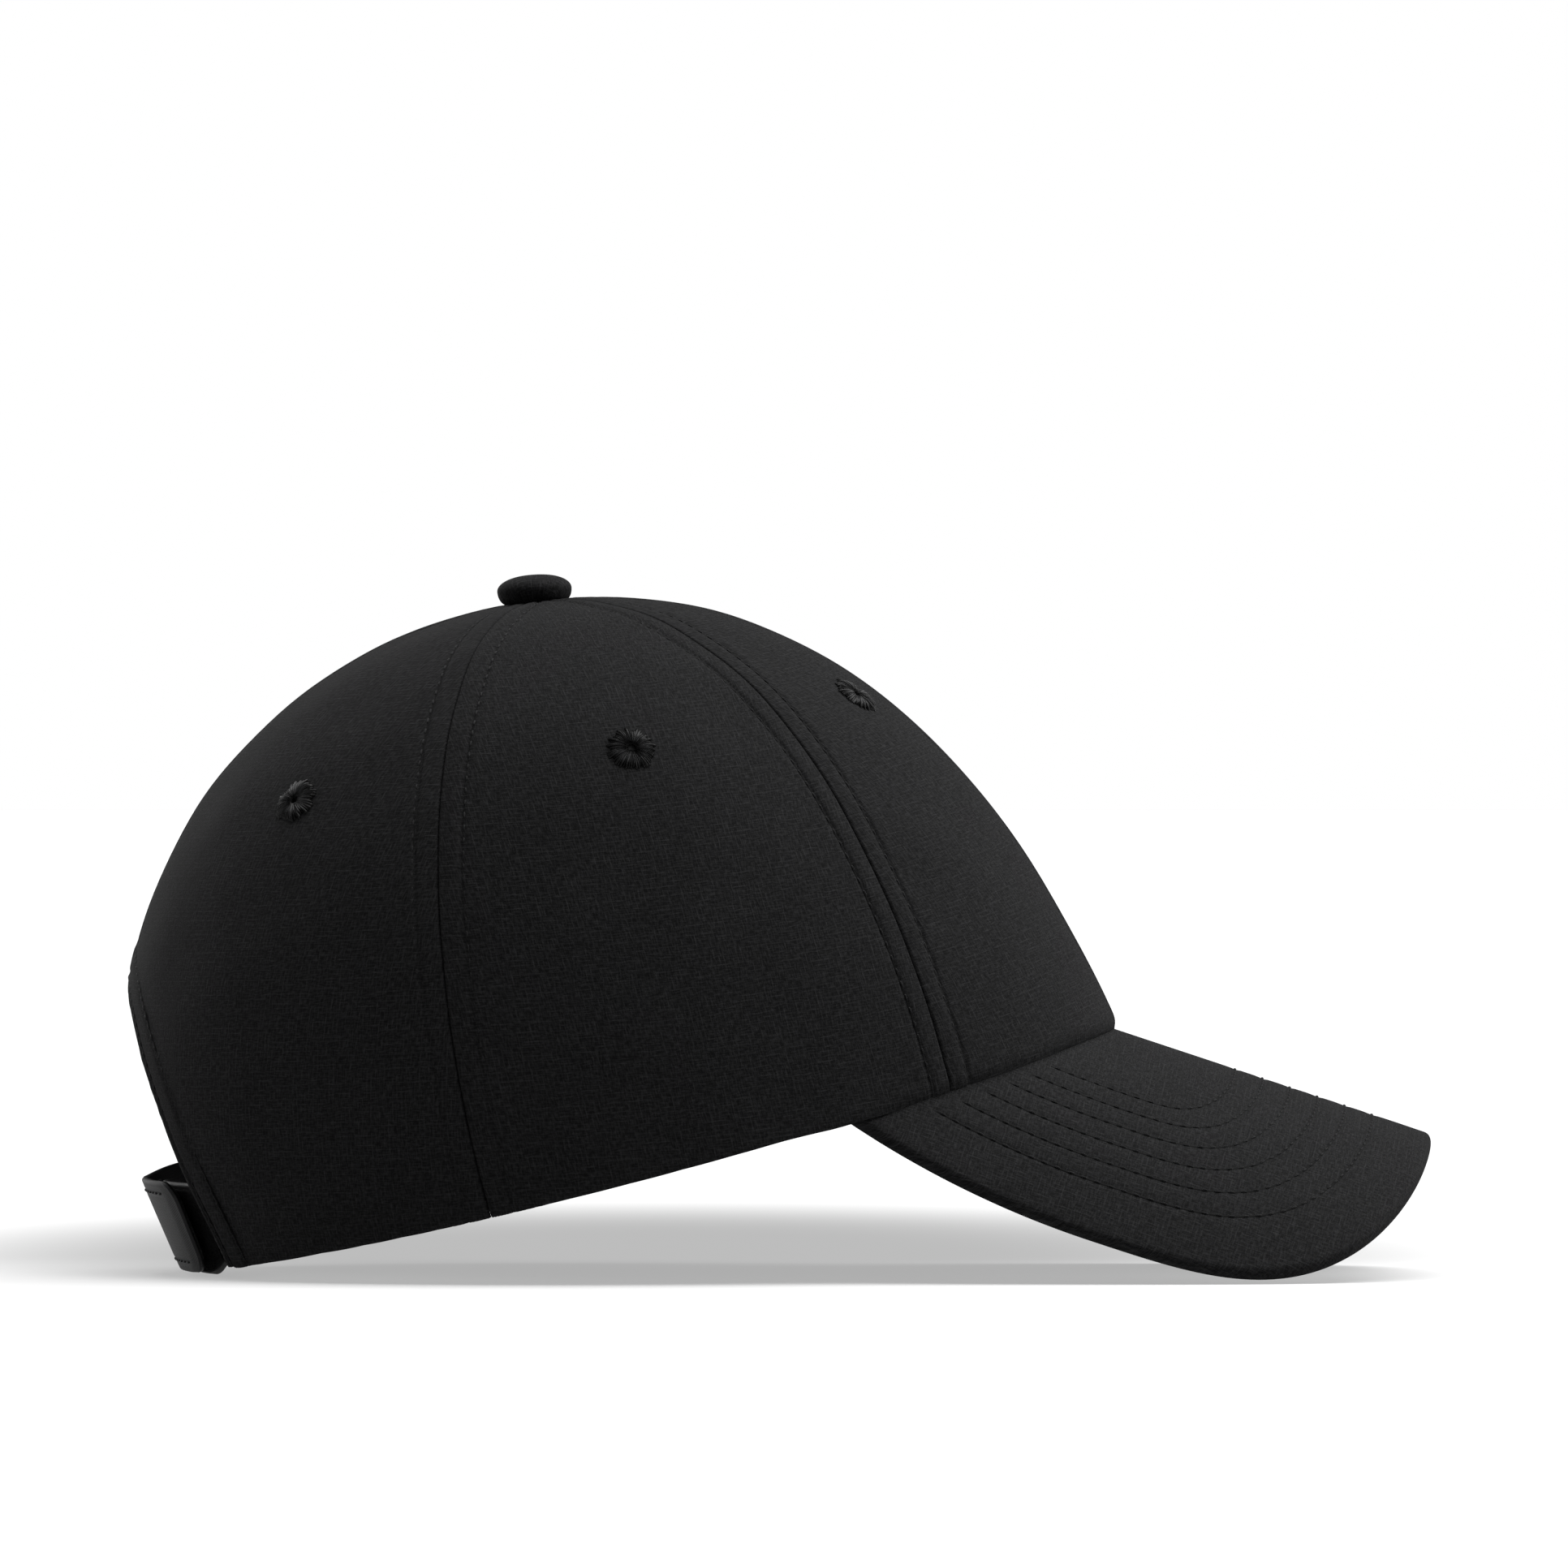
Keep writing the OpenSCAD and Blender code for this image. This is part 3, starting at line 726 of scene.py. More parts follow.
# Near-black painted shade for the bottoms of the stitch rows
GROOVE_SHADE = thread_material("groove_shade", grey(0.0012), grey(0.003), 0.9, 0.08)
EMBROIDERY = embroidery_thread("embroidery_thread")
TAPE_CLOTH = plain_weave("seam_tape", grey(0.012), grey(0.032), 0.5, 0.7, 0.2, 0.00012)
BAND_CLOTH_LOOK = plain_weave("sweatband_cloth", grey(0.014), grey(0.035), 0.42, 0.8, 0.15,
                              0.0001)
BUCKRAM = plain_weave("buckram", grey(0.02), grey(0.07), 0.9, 0.75, 0.2, 0.0002)
WEBBING = webbing_cloth("strap_webbing", grey(0.009), grey(0.017))
HOOKS = speckled("hook_tape", grey(0.01), grey(0.03), 0.5, 0.45, 0.4, 0.0002)
PILE = speckled("loop_pile", grey(0.0012), grey(0.005), 0.3, 0.95, 0.03, 0.0003)
STEEL = speckled("steel", (0.42, 0.42, 0.43), (0.56, 0.56, 0.57), 0.8, 0.32, 0.5, 0.00002,
                 metallic=1.0)
BOARD = speckled("visor_board", (0.7, 0.7, 0.66), (0.8, 0.8, 0.77), 1.5, 0.4, 0.5, 0.00003)
FOAM = speckled("foam", (0.62, 0.62, 0.58), (0.78, 0.78, 0.74), 0.9, 0.9, 0.2, 0.0004)


# ---- Crown panels

PANEL_LENGTH = 172
PANEL_ROWS = spacings(PANEL_LENGTH, 0.4, 1.5, 3.5, 4)/PANEL_LENGTH
HALF_GAP = 0.04
SEAM_ROLL = (0.6, 0.5)
VISOR_ROLL = (3.4, 2.0)
HEM_ROLL = (0.9, 0.5)
ROW_DEPTH = 0.36
VISOR_ROW_DEPTH = 0.22
# The folded hem reaches this much lower than the cut's own edge
HEM_DROP = 0.7
HEM_SWELL = 0.34
PANEL_HOLE_R = 2.3


def row_offset(phi, t):
    """Distance of a stitch row from its seam, less near the apex where rows meet."""
    return ROW_OFFSET*(1 - np.exp(-from_apex(phi, t)/9))


def sewn_relief(distance, offset, along, seed):
    """Height beside a seam: rolled edge, plump channel, sunk row and small puckers."""
    phase = 0.6*np.sin(along/9.7 + seed) + 0.4*np.sin(along/4.3 + 2*seed)
    pucker = np.cos(along*(2*math.pi/STITCH_PITCH) + phase)
    swell = 0.16*bump_at(distance, offset*0.55, 1.6)
    row = -ROW_DEPTH*bump_at(distance, offset, 0.5)
    ripple = 0.05*(0.7 + 0.3*np.sin(along/6.1 + seed))*pucker*bump_at(distance, offset, 1.6)
    wide = 0.09*np.sin(along/3.9 + phase)*bump_at(distance, offset + 2.4, 2.2)
    return swell + row + ripple + wide - roll(distance, *SEAM_ROLL)


def panel_columns(start, end, width):
    """Directions over a panel, close together beside its seams."""
    return start + (end - start)*spacings(width, 0.32, 2.0, 5.8, 7)/width


def back_columns():
    plain = panel_columns(BACK_SEAM, ARCH_FOOT, 62)
    return np.concatenate([plain, arch_direction(np.linspace(0, 90, 61)[1:])])


def arch_line():
    """Edge of the arch on one side, as directions and meridian places."""
    phi = arch_direction(np.linspace(0, 90, 181))
    return phi, arch_t(phi)


def arch_hem(base, down):
    """Height of the folded hem along the arch, with its two sunk rows."""
    away = distance_to(base, crown(*arch_line()))
    height = HEM_SWELL*(1 - ease((away - ARCH_ROWS[1] - 0.2)/0.9))
    height -= ROW_DEPTH*bump_at(away, ARCH_ROWS[0], 0.5)
    height -= ROW_DEPTH*bump_at(away, ARCH_ROWS[1], 0.55)
    return height + 0.05*np.sin(down*1.9)*bump_at(away, ARCH_ROWS[1], 1.6)


def panel_points(columns, side, seed):
    """Outer and inner grids of a panel, and its grain coordinates."""
    low = arch_t(columns)
    free = ease((columns - VISOR_LEAVE - 8)/8)*ease((ARCH_FOOT + 1 - columns)/4)
    low = low + free*HEM_DROP/(3*around(EDGE_PULL, columns))
    top = near_apex(columns, APEX_HOLE)
    t = lerp(top[None, :], low[None, :], PANEL_ROWS[:, None])
    start, end = columns[0], columns[-1]
    share = (columns - start)/(end - start)
    gap = gap_angle(np.broadcast_to(columns, t.shape), t, HALF_GAP)
    phi = lerp(start + gap, end - gap, share[None, :])
    base = crown(phi, t)
    across = run_length(base, 1)
    down = run_length(base, 0)
    offset = row_offset(phi, t)
    height = sewn_relief(across, offset, down, seed)
    height += sewn_relief(across[:, -1:] - across, offset, down, seed + 1.7)
    rim = resample(base[-1], 0.7)
    to_rim = distance_to(base, rim)
    rests = 1 - ease((phi - VISOR_LEAVE - 4)/6)
    height -= rests*roll(to_rim, *VISOR_ROLL) + (1 - rests)*roll(to_rim, *HEM_ROLL)
    if end > ARCH_FOOT:
        height += arch_hem(base, down)
    outer = inside(phi, t, -height, side)
    inner = inside(phi, t, np.maximum(CLOTH_T, 0.15 - height), side)
    # The grain runs down the front seam on the front panels, down the middle on the others
    middle = across[:, -1:]/2 if start else across*0
    uv = np.stack([(across - middle)*side, down], -1)
    return outer, inner, uv


def eyelet_frame(place, side):
    """Middle of an eyelet on the crown, and the direction out of it."""
    phi, t = (np.array(float(v)) for v in place)
    return inside(phi, t, 0, side), outwards(phi, t, side)


def cut_hole(obj, place, side, radius):
    """Cuts a round hole through a panel along its outward direction."""
    ring = ring_turns(32)
    centre, out = eyelet_frame(place, side)
    right = unit(np.cross(out, [0, 0, 1.0]))
    up = np.cross(out, right)
    rim = centre + radius*(np.cos(ring)[:, None]*right + np.sin(ring)[:, None]*up)
    points = np.concatenate([rim - 5*out, rim + 5*out])
    mesh = bpy.data.meshes.new("cutter")
    n = len(ring)
    faces = [tuple(range(n))[::-1], tuple(range(n, 2*n))]
    faces += [(i, (i + 1) % n, n + (i + 1) % n, n + i) for i in range(n)]
    mesh.from_pydata((points*MM).tolist(), [], faces)
    cutter = link_mesh("cutter", mesh)
    cut = obj.modifiers.new("hole", "BOOLEAN")
    cut.object = cutter
    cut.operation = "DIFFERENCE"
    cut.solver = "EXACT"
    bpy.context.view_layer.update()
    ready = obj.evaluated_get(bpy.context.evaluated_depsgraph_get())
    obj.data = bpy.data.meshes.new_from_object(ready)
    obj.modifiers.clear()
    bpy.data.objects.remove(cutter)


def make_panel(name, columns, eyelet, side, seed):
    outer, inner, uv = panel_points(columns, side, seed)
    panel = closed_sheet(f"{name}_cloth", outer, inner, uv, side)
    cut_hole(panel, eyelet, side, PANEL_HOLE_R)
    on_cap(panel, "crown_cloth", CROWN_CLOTH, name)


def make_crown():
    front = panel_columns(0, FRONT_SEAM, 74)
    middle = panel_columns(FRONT_SEAM, BACK_SEAM, 94)
    back = back_columns()
    for side, word in SIDES:
        make_panel(f"front_{word}_panel", front, FRONT_EYELET, side, 1 + side)
        make_panel(f"side_{word}_panel", middle, SIDE_EYELET, side, 5 + side)
        make_panel(f"back_{word}_panel", back, BACK_EYELET, side, 9 + side)


def seam_row(phi, sign, side, t_from, t_to):
    """One stitch row beside a meridian seam, with its outward directions."""
    t = np.linspace(t_from, t_to, 260)
    turned = phi + sign*gap_angle(np.full(t.shape, float(phi)), t, row_offset(phi, t))
    return inside(turned, t, ROW_DEPTH - 0.07, side), outwards(turned, t, side)


def sew(name, lines, **how):
    """Stitches and the painted shade of the row under them, on the cap's body."""
    on_cap(stitch_lines(f"{name}_stitching", lines, **how), "embroidery_thread", THREAD)
    on_cap(groove_shade_lines(f"{name}_groove_shade", lines), "embroidery_thread", GROOVE_SHADE)


# Directions of the seams, and where their stitch rows end
SEAM_ROWS = {"center_front": (0, 0.985), "front": (FRONT_SEAM, 0.985),
             "back": (BACK_SEAM, 0.992), "center_back": (180, ARCH_TOP - 0.045)}
ROWS_FROM_APEX = 7.0


def make_crown_stitching():
    """A row on each side of every seam."""
    for name, (phi, end) in SEAM_ROWS.items():
        top = float(near_apex(phi, ROWS_FROM_APEX))
        if phi in (0, 180):
            sign = 1 if phi == 0 else -1
            lines = [seam_row(phi, sign, side, top, end) for side in (1, -1)]
            sew(f"{name}_seam", lines, seed=phi + 3)
            continue
        for side, word in SIDES:
            lines = [seam_row(phi, sign, side, top, end) for sign in (1, -1)]
            sew(f"{name}_{word}_seam", lines, seed=phi + 5 + side)


ARCH_LIFT = 0.02


def arch_row(margin):
    """A row parallel to the arch, from the left foot over the top to the right foot."""
    phi, t = arch_line()
    line = crown(phi, t)
    out = crown_out(phi, t)
    along = unit(np.gradient(line, axis=0))
    inwards = unit(np.cross(out, along))
    lift = wobble(line) - margin**2/(2*TAPE_BEND_R)
    row = line + margin*inwards + (lift + ARCH_LIFT)[:, None]*out
    keep = row[:, 0] > 0.4
    left, normals = row[keep], out[keep]
    return (np.concatenate([left, (left*mirror(-1))[::-1]]),
            np.concatenate([normals, (normals*mirror(-1))[::-1]]))


def make_arch_stitching():
    sew("arch", [arch_row(margin) for margin in ARCH_ROWS], seed=31)


# ---- Lining parts

BUCKRAM_T = (0.16, 0.985)
BUCKRAM_HOLE_R = 2.6
BUCKRAM_GAP = 0.3


def make_buckram():
    columns = np.linspace(1, FRONT_SEAM - 1, 40)
    t = np.broadcast_to(np.linspace(*BUCKRAM_T, 90)[:, None], (90, 40))
    gap = gap_angle(np.broadcast_to(columns, t.shape), t, BUCKRAM_GAP)
    phi = lerp(1 + gap, FRONT_SEAM - 1 - gap, (columns - 1)/(FRONT_SEAM - 2))
    uv = own_grain(crown(phi, t))
    for side, word in SIDES:
        outer, inner = (inside(phi, t, depth, side) for depth in STIFF_DEPTH)
        piece = closed_sheet(f"front_{word}_buckram_lining", outer, inner, uv, side)
        cut_hole(piece, FRONT_EYELET, side, BUCKRAM_HOLE_R)
        on_cap(piece, "buckram", BUCKRAM, f"front_{word}_buckram")


TAPE_X = np.linspace(-TAPE_HALF_W, TAPE_HALF_W, 13)
TAPE_DOME = 0.12*np.cos(TAPE_X/TAPE_HALF_W*math.pi/2)


def make_tape(node, phi, t, sign, side):
    """A tape along a meridian, softly domed between its edges."""
    outer, inner = (
        np.stack([beside(phi, t, sign*x, depth + lift, side)
                  for x, lift in zip(TAPE_X, TAPE_DOME)], 1)
        for depth in TAPE_DEPTH)
    make_lining(f"{node}_cloth", node, outer, inner, "seam_tape", TAPE_CLOTH, side)


def make_tapes():
    front = np.linspace(0.97, 0.012, 100)
    back = np.linspace(0.012, ARCH_TOP - 0.035, 80)
    phi = np.concatenate([0*front, 0*back + 180])
    sign = np.concatenate([0*front - 1, 0*back + 1])
    make_tape("center_seam_tape", phi, np.concatenate([front, back]), sign, 1)
    for side, word in SIDES:
        for name, at, end in (("front", FRONT_SEAM, 0.97), ("back", BACK_SEAM, 0.985)):
            t = np.linspace(float(near_apex(at, 13)), end, 110)
            make_tape(f"{name}_{word}_seam_tape", at + 0*t, t, 1, side)


def make_tape_stitching():
    """The seam rows where they come through the tapes inside the crown."""
    lines = []
    for side in (1, -1):
        for phi, end in ((0, 0.96), (FRONT_SEAM, 0.96), (BACK_SEAM, 0.975),
                         (180, ARCH_TOP - 0.05)):
            t = np.linspace(float(near_apex(phi, 14)), end, 220)
            for sign in ((1, -1) if phi in (FRONT_SEAM, BACK_SEAM) else (1,)):
                x = sign*0.9*row_offset(phi, t)
                line = beside(phi, t, x, TAPE_DEPTH[1] + 0.07, side)
                lines.append((line, -outwards(phi + 0*t, t, side)))
    on_cap(stitch_lines("seam_tape_stitching", lines, seed=47), "embroidery_thread", THREAD)


BINDING_W = 9
BINDING_START = 28
# Lengths of a whole meridian and of a degree round the back, near the arch
MERIDIAN_L = 190
DEGREE_L = 1.45


def binding_half(depth, side):
    """One face of the facing, from the foot of the arch to its top."""
    angle = np.linspace(BINDING_START, 90, 60)
    phi = arch_direction(angle)
    cols = []
    for back in np.linspace(0.6, BINDING_W, 10):
        shift = back/(1 + 0.02*back)
        place = arch_t(phi) - shift/MERIDIAN_L*np.maximum(np.sin(np.radians(angle)), 0.25)
        turn = shift*np.cos(np.radians(angle))/DEGREE_L
        cols.append(inside(phi - turn, place, depth, side))
    return np.stack(cols, 1)


def make_binding():
    """A facing that follows the arch inside its hem."""
    outer, inner = (
        np.concatenate([binding_half(depth, 1), binding_half(depth, -1)[-2::-1]])
        for depth in STIFF_DEPTH)
    make_lining("arch_binding_cloth", "arch_binding", outer, inner, "seam_tape", TAPE_CLOTH)


def both_ways(phi, t, depth):
    """Points inside the crown for directions that run round from the right (below 0)."""
    return inside(np.abs(phi), t, depth, 1)*own_side(phi)


def own_side(phi):
    """Factors that carry a point on the left to the side that its direction is on."""
    return np.stack([np.sign(phi) + (phi == 0), 0*phi + 1, 0*phi + 1], -1)


FOLD_R = 1.3
BAND_ROWS = (2.6, BAND_W - 3)


def make_sweatband():
    """Cloth folded over foam; its lower edges are sewn inside the bottom edge."""
    phi = np.linspace(-BAND_END, BAND_END, 361)
    out, deep = BAND_DEPTH
    middle = (out + deep)/2
    fold = np.radians(np.linspace(0, 180, 13))
    up = np.linspace(0, BAND_W - FOLD_R, 20)
    height = np.concatenate([up, BAND_W - FOLD_R + FOLD_R*np.sin(fold), up[::-1]])
    depth = np.concatenate([0*up + deep, middle + (deep - middle)*np.cos(fold),
                            0*up + out])
    inwards = np.concatenate([0*up + 1, np.cos(fold), 0*up - 1])
    ripple = 0.12*np.sin(phi*0.9)[:, None]*np.sin(math.pi*height/BAND_W)[None, :]

    def face(thick):
        cols = []
        for h, d, inward, ride in zip(height, depth, inwards, ripple.T):
            h_in = h - thick*math.sqrt(max(0, 1 - inward**2))
            t = above_edge(np.abs(phi), h_in) if h_in > 0.02 else np.ones(phi.shape)
            cols.append(both_ways(phi, t, d - thick*inward + ride*(inward > 0)))
        return np.stack(cols, 1)
    make_lining("sweatband_cloth", "sweatband", face(0), face(BAND_CLOTH), "sweatband_cloth",
                BAND_CLOTH_LOOK)
    lines = []
    for h in BAND_ROWS:
        t = above_edge(np.abs(phi), h)
        normal = -crown_out(np.abs(phi), t)*own_side(phi)
        lines.append((both_ways(phi, t, deep + 0.06), normal))
    stitches = stitch_lines("sweatband_stitching", lines, pitch=3.1, seed=53)
    on_cap(stitches, "embroidery_thread", THREAD)


def make_foam():
    phi = np.linspace(-BAND_END, BAND_END, 181)
    heights = np.linspace(BAND_W - 2.8, 1, 12)
    outer, inner = (
        np.stack([both_ways(phi, above_edge(np.abs(phi), h), depth) for h in heights], 1)
        for depth in (BAND_DEPTH[0] + BAND_CLOTH + 0.3, BAND_DEPTH[1] - BAND_CLOTH - 0.3))
    piece = closed_sheet("sweatband_foam_strip", outer, inner, own_grain(outer))
    on_cap(piece, "foam", FOAM, "sweatband_foam")


# ---- Embroidered eyelets

EYELET_R = 5.3
EYELET_HOLE = 0.8
EYELET_THREADS = 54
EYELET_STEPS = 5
# Radius of its neck in the cloth's hole, and of the crown under it
EYELET_NECK = 2.25
EYELET_BED_R = 80


def make_eyelet(name, place, side, grip, seed):
    """A ring of satin stitches whose outer ends are uneven, clasping the cloth."""
    rng = np.random.default_rng(seed)
    low = -grip - 0.25
    # Closed outline: [radius, height, how much it follows single threads]
    outline = np.array([
        [EYELET_HOLE + 0.1, low - 0.5, 0], [EYELET_HOLE, low, 0], [EYELET_HOLE, 0.1, 0],
        [EYELET_HOLE + 0.12, 0.45, 0.4], [EYELET_HOLE + 0.5, 0.74, 0.8],
        [2.8, 0.92, 1], [3.7, 0.86, 1], [4.5, 0.62, 1], [5.0, 0.34, 1],
        [EYELET_R, 0.04, 1], [EYELET_R, -0.1, 1], [EYELET_NECK, -0.1, 0],
        [EYELET_NECK, low, 0], [4.6, low, 0.6], [4.7, low - 0.15, 0.6], [3.2, low - 0.6, 0.6]])
    count = EYELET_THREADS*EYELET_STEPS
    turn = np.arange(count)*2*math.pi/count
    thread = np.arange(count)//EYELET_STEPS
    crest = np.sin((np.arange(count) % EYELET_STEPS + 0.5)/EYELET_STEPS*math.pi)
    reach = rng.uniform(-0.8, 0.35, EYELET_THREADS)[thread]
    tall = rng.uniform(0.8, 1.15, EYELET_THREADS)[thread]
    follow = outline[:, 2][:, None]
    outward = np.clip((outline[:, 0] - 3)/(EYELET_R - 3), 0, 1)[:, None]
    radius = outline[:, 0][:, None] + follow*outward*(reach + 0.25*(crest - 1))
    height = outline[:, 1][:, None]
    top = (height > 0.05)*follow
    height = height*(1 + top*(tall - 1)) + top*0.24*(crest - 0.7)
    centre, out = eyelet_frame(place, side)
    right = unit(np.cross(out, [0, 0, 1.0]))
    up = np.cross(right, out)
    sag = radius**2/(2*EYELET_BED_R)
    grid = (centre + radius[..., None]*(np.cos(turn)[None, :, None]*right
                                        + np.sin(turn)[None, :, None]*up)
            + (height - sag)[..., None]*out)
    # Its grain is the way round the hole and the distance from its middle
    uv = np.stack(np.broadcast_arrays(turn*3, outline[:, :1]), -1)
    piece = ring_mesh(f"{name}_embroidery", grid, uv)
    on_cap(piece, "embroidery_thread", EMBROIDERY, name)


def make_eyelets():
    places = {"front": (FRONT_EYELET, STIFF_DEPTH[1]), "side": (SIDE_EYELET, CLOTH_T),
              "back": (BACK_EYELET, CLOTH_T)}
    for side, word in SIDES:
        for seed, (name, (place, grip)) in enumerate(places.items()):
            make_eyelet(f"{name}_{word}_eyelet", place, side, grip, 60 + 3*side + seed)


# ---- Visor

def visor_point(a, v, depth):
    """Point of the visor from its arc, its length from the root line and its depth."""
    beta = a/VISOR_R
    x = (VISOR_R - depth)*np.sin(beta)
    drop = VISOR_R - (VISOR_R - depth)*np.cos(beta)
    return np.stack([x, ROOT_Y - v*math.cos(VISOR_PITCH) + drop*math.sin(VISOR_PITCH),
                     ROOT_Z - v*math.sin(VISOR_PITCH) - drop*math.cos(VISOR_PITCH)], -1)


def visor_out(a):
    """Direction out of the visor's upper face."""
    beta = a/VISOR_R
    return np.stack([np.sin(beta), -np.cos(beta)*math.sin(VISOR_PITCH),
                     np.cos(beta)*math.cos(VISOR_PITCH)], -1)


def rim_point(chi, margin):
    """Outline of the visor, seen from its widest place, in arc and length."""
    c, s = np.abs(np.cos(np.radians(chi))), np.abs(np.sin(np.radians(chi)))
    front = np.abs(chi) < 90
    power = np.where(front, VISOR_SQUARE, 2.0)
    reach = np.where(front, VISOR_REACH, VISOR_TAIL) - margin
    radius = ((c/reach)**power + (s/(VISOR_HALF_ARC - margin))**power)**(-1/power)
    return np.stack([radius*np.sin(np.radians(chi)),
                     VISOR_WIDEST + radius*np.cos(np.radians(chi))], -1)


def root_point(phi, margin):
    """The crown's edge laid on the visor and moved inwards, in arc and length."""
    side = np.where(phi < 0, -1, 1)[..., None]
    flip = np.concatenate([side, side*0 + 1], -1)
    p = (edge(np.abs(phi)) - np.asarray(margin)[..., None]*edge_out(np.abs(phi)))[..., :2]
    drop = visor_drop(p[..., 0])
    return flip*np.stack([VISOR_R*np.arcsin(p[..., 0]/VISOR_R),
                          (ROOT_Y + drop*math.sin(VISOR_PITCH) - p[..., 1])
                          /math.cos(VISOR_PITCH)], -1)


# Columns from -1 to 1 that lie closer together near both ends
CROWDING = 0.94
VISOR_COLUMNS = np.sin(np.radians(np.linspace(-90, 90, 301))*CROWDING)
VISOR_COLUMNS /= math.sin(CROWDING*math.pi/2)
# Rows of the grid from the root to the rim, before it turns down
FLAT_ROWS = 70
RIM_ROUND = 1.7
# Room left between the two cloths at the rim
RIM_CLEAR = 0.35


def visor_flat(share, margin):
    """Grid of flat visor places: columns along the root, one row for each share."""
    chi = VISOR_CORNER*VISOR_COLUMNS
    root = root_point(ROOT_CORNER*VISOR_COLUMNS, SEAM_ALLOWANCE)
    return np.stack([lerp(root, rim_point(chi, m), u) for u, m in zip(share, margin)], 0)


def visor_row_curve(index):
    """A stitch row: the rim's outline moved inwards, where it lies in front of the root."""
    chi = np.linspace(-VISOR_CORNER, VISOR_CORNER, 900)
    curve = rim_point(chi, VISOR_FIRST_ROW + index*VISOR_ROW_GAP)
    root = root_point(np.linspace(-75, 75, 500), -1.2)
    front = np.interp(curve[:, 0], root[:, 0], root[:, 1])
    return resample(curve[curve[:, 1] > front], 0.5)


def visor_relief(flat, rows):
    """Height of the quilted cloth: sunk along the rows, softly raised between them."""
    height = np.zeros(flat.shape[:2])
    nearest = np.full(flat.shape[:2], np.inf)
    for curve in rows:
        away = distance_to(flat, curve)
        nearest = np.minimum(nearest, away)
        height -= VISOR_ROW_DEPTH*bump_at(away, 0, 0.55)
    height += 0.05*(1 - bump_at(nearest, 0, 2.0))
    grainy = 0.035*np.sin(flat[..., 0]*2.17)*np.sin(flat[..., 1]*0.3)
    return height + grainy*bump_at(nearest, 0, 1.6)


def visor_face(flat, rows, depth, sign):
    """One quilted face: its relief points up (1) or down (-1) and fades at the rim."""
    fade = 1 - ease((np.arange(len(depth)) - FLAT_ROWS + 8)/8)
    relief = visor_relief(flat, rows)*fade[:, None]
    return visor_point(flat[..., 0], flat[..., 1], depth[:, None] - sign*relief)


def visor_lining(flat, depth):
    """The hidden face of the visor's cloth."""
    return visor_point(flat[..., 0], flat[..., 1],
                       np.broadcast_to(depth[:, None], flat.shape[:2]))


def make_visor():
    rows = [visor_row_curve(k) for k in range(VISOR_ROWS)]
    make_visor_top(rows)
    make_visor_underside(rows)
    make_visor_stitching(rows)


def make_visor_top(rows):
    """Cloth that turns down over the rim."""
    turn = np.radians(np.linspace(0, 90, 9))[1:]
    share = np.concatenate([np.linspace(0, 1, FLAT_ROWS), np.ones(12)])
    margin = np.concatenate([np.full(FLAT_ROWS, RIM_ROUND), RIM_ROUND*(1 - np.sin(turn)),
                             np.zeros(4)])
    depth = np.concatenate([np.zeros(FLAT_ROWS), RIM_ROUND*(1 - np.cos(turn)),
                            np.linspace(RIM_ROUND + 0.1, VISOR_RIM_T - RIM_CLEAR, 4)])
    flat = visor_flat(share, margin)
    outer = visor_face(flat, rows, depth, 1)
    thick = VISOR_CLOTH*np.clip(1.2 - depth/RIM_ROUND, 0, 1)
    deep = np.minimum(depth + thick, VISOR_RIM_T - RIM_CLEAR) + 0.02*(depth > 2)
    inner = visor_lining(visor_flat(share, margin + VISOR_CLOTH*(margin < RIM_ROUND)), deep)
    uv = np.stack([flat[..., 0], flat[..., 1] + depth[:, None]], -1)
    top = closed_sheet("visor_top_cloth_quilted", outer, inner, uv)
    on_cap(top, "crown_cloth", CROWN_CLOTH, "visor_top_cloth")


def make_visor_underside(rows):
    """Lower cloth, which rises towards the thinner rim."""
    rim = np.linspace(0, 1, 10)[1:]
    share = np.concatenate([np.linspace(0, 1, FLAT_ROWS), np.ones(9)])
    margin = np.concatenate([np.full(FLAT_ROWS, SEAM_ALLOWANCE),
                             lerp(SEAM_ALLOWANCE, 0.25, np.sin(rim*math.pi/2))])
    rising = (VISOR_T - VISOR_RIM_T)*rim**1.6
    depth = VISOR_T - np.concatenate([np.zeros(FLAT_ROWS), rising])
    flat = visor_flat(share, margin)
    outer = visor_face(flat, rows, depth, -1)
    inner = visor_lining(visor_flat(share, np.maximum(margin, RIM_CLEAR)),
                         np.minimum(depth - 0.3, VISOR_T - VISOR_CLOTH))
    under = closed_sheet("visor_under_cloth_quilted", outer, inner, flat, side=-1)
    on_cap(under, "crown_cloth", CROWN_CLOTH, "visor_under_cloth")


def make_visor_stitching(rows):
    """Threads in the sunk rows of both faces."""
    sunk = VISOR_ROW_DEPTH - 0.07
    for name, depth, sign, seed in (("visor_top", sunk, 1, 71),
                                    ("visor_under", VISOR_T - sunk, -1, 72)):
        sew(name, [(visor_point(arc, length, depth), sign*visor_out(arc))
                   for arc, length in (curve.T for curve in rows)], seed=seed)


# ---- Button

BUTTON_R = 7.9
BUTTON_H = 5.5
BUTTON_TILT = math.radians(4)
# Heights of its widest part and of its gathered edge, and that edge's radius
BUTTON_WIDEST = 2.3
BUTTON_LOW = -0.75
BUTTON_LOW_R = 5.4
BUTTON_CLOTH = 0.6


def on_apex(points):
    """Carries the button's points onto the apex, leaning back with it."""
    c, s = math.cos(BUTTON_TILT), math.sin(BUTTON_TILT)
    x, y, z = points[..., 0], points[..., 1], points[..., 2]
    return np.stack([x, y*c + z*s + APEX[1] + 0.6, z*c - y*s + APEX[2] + 0.1], -1)


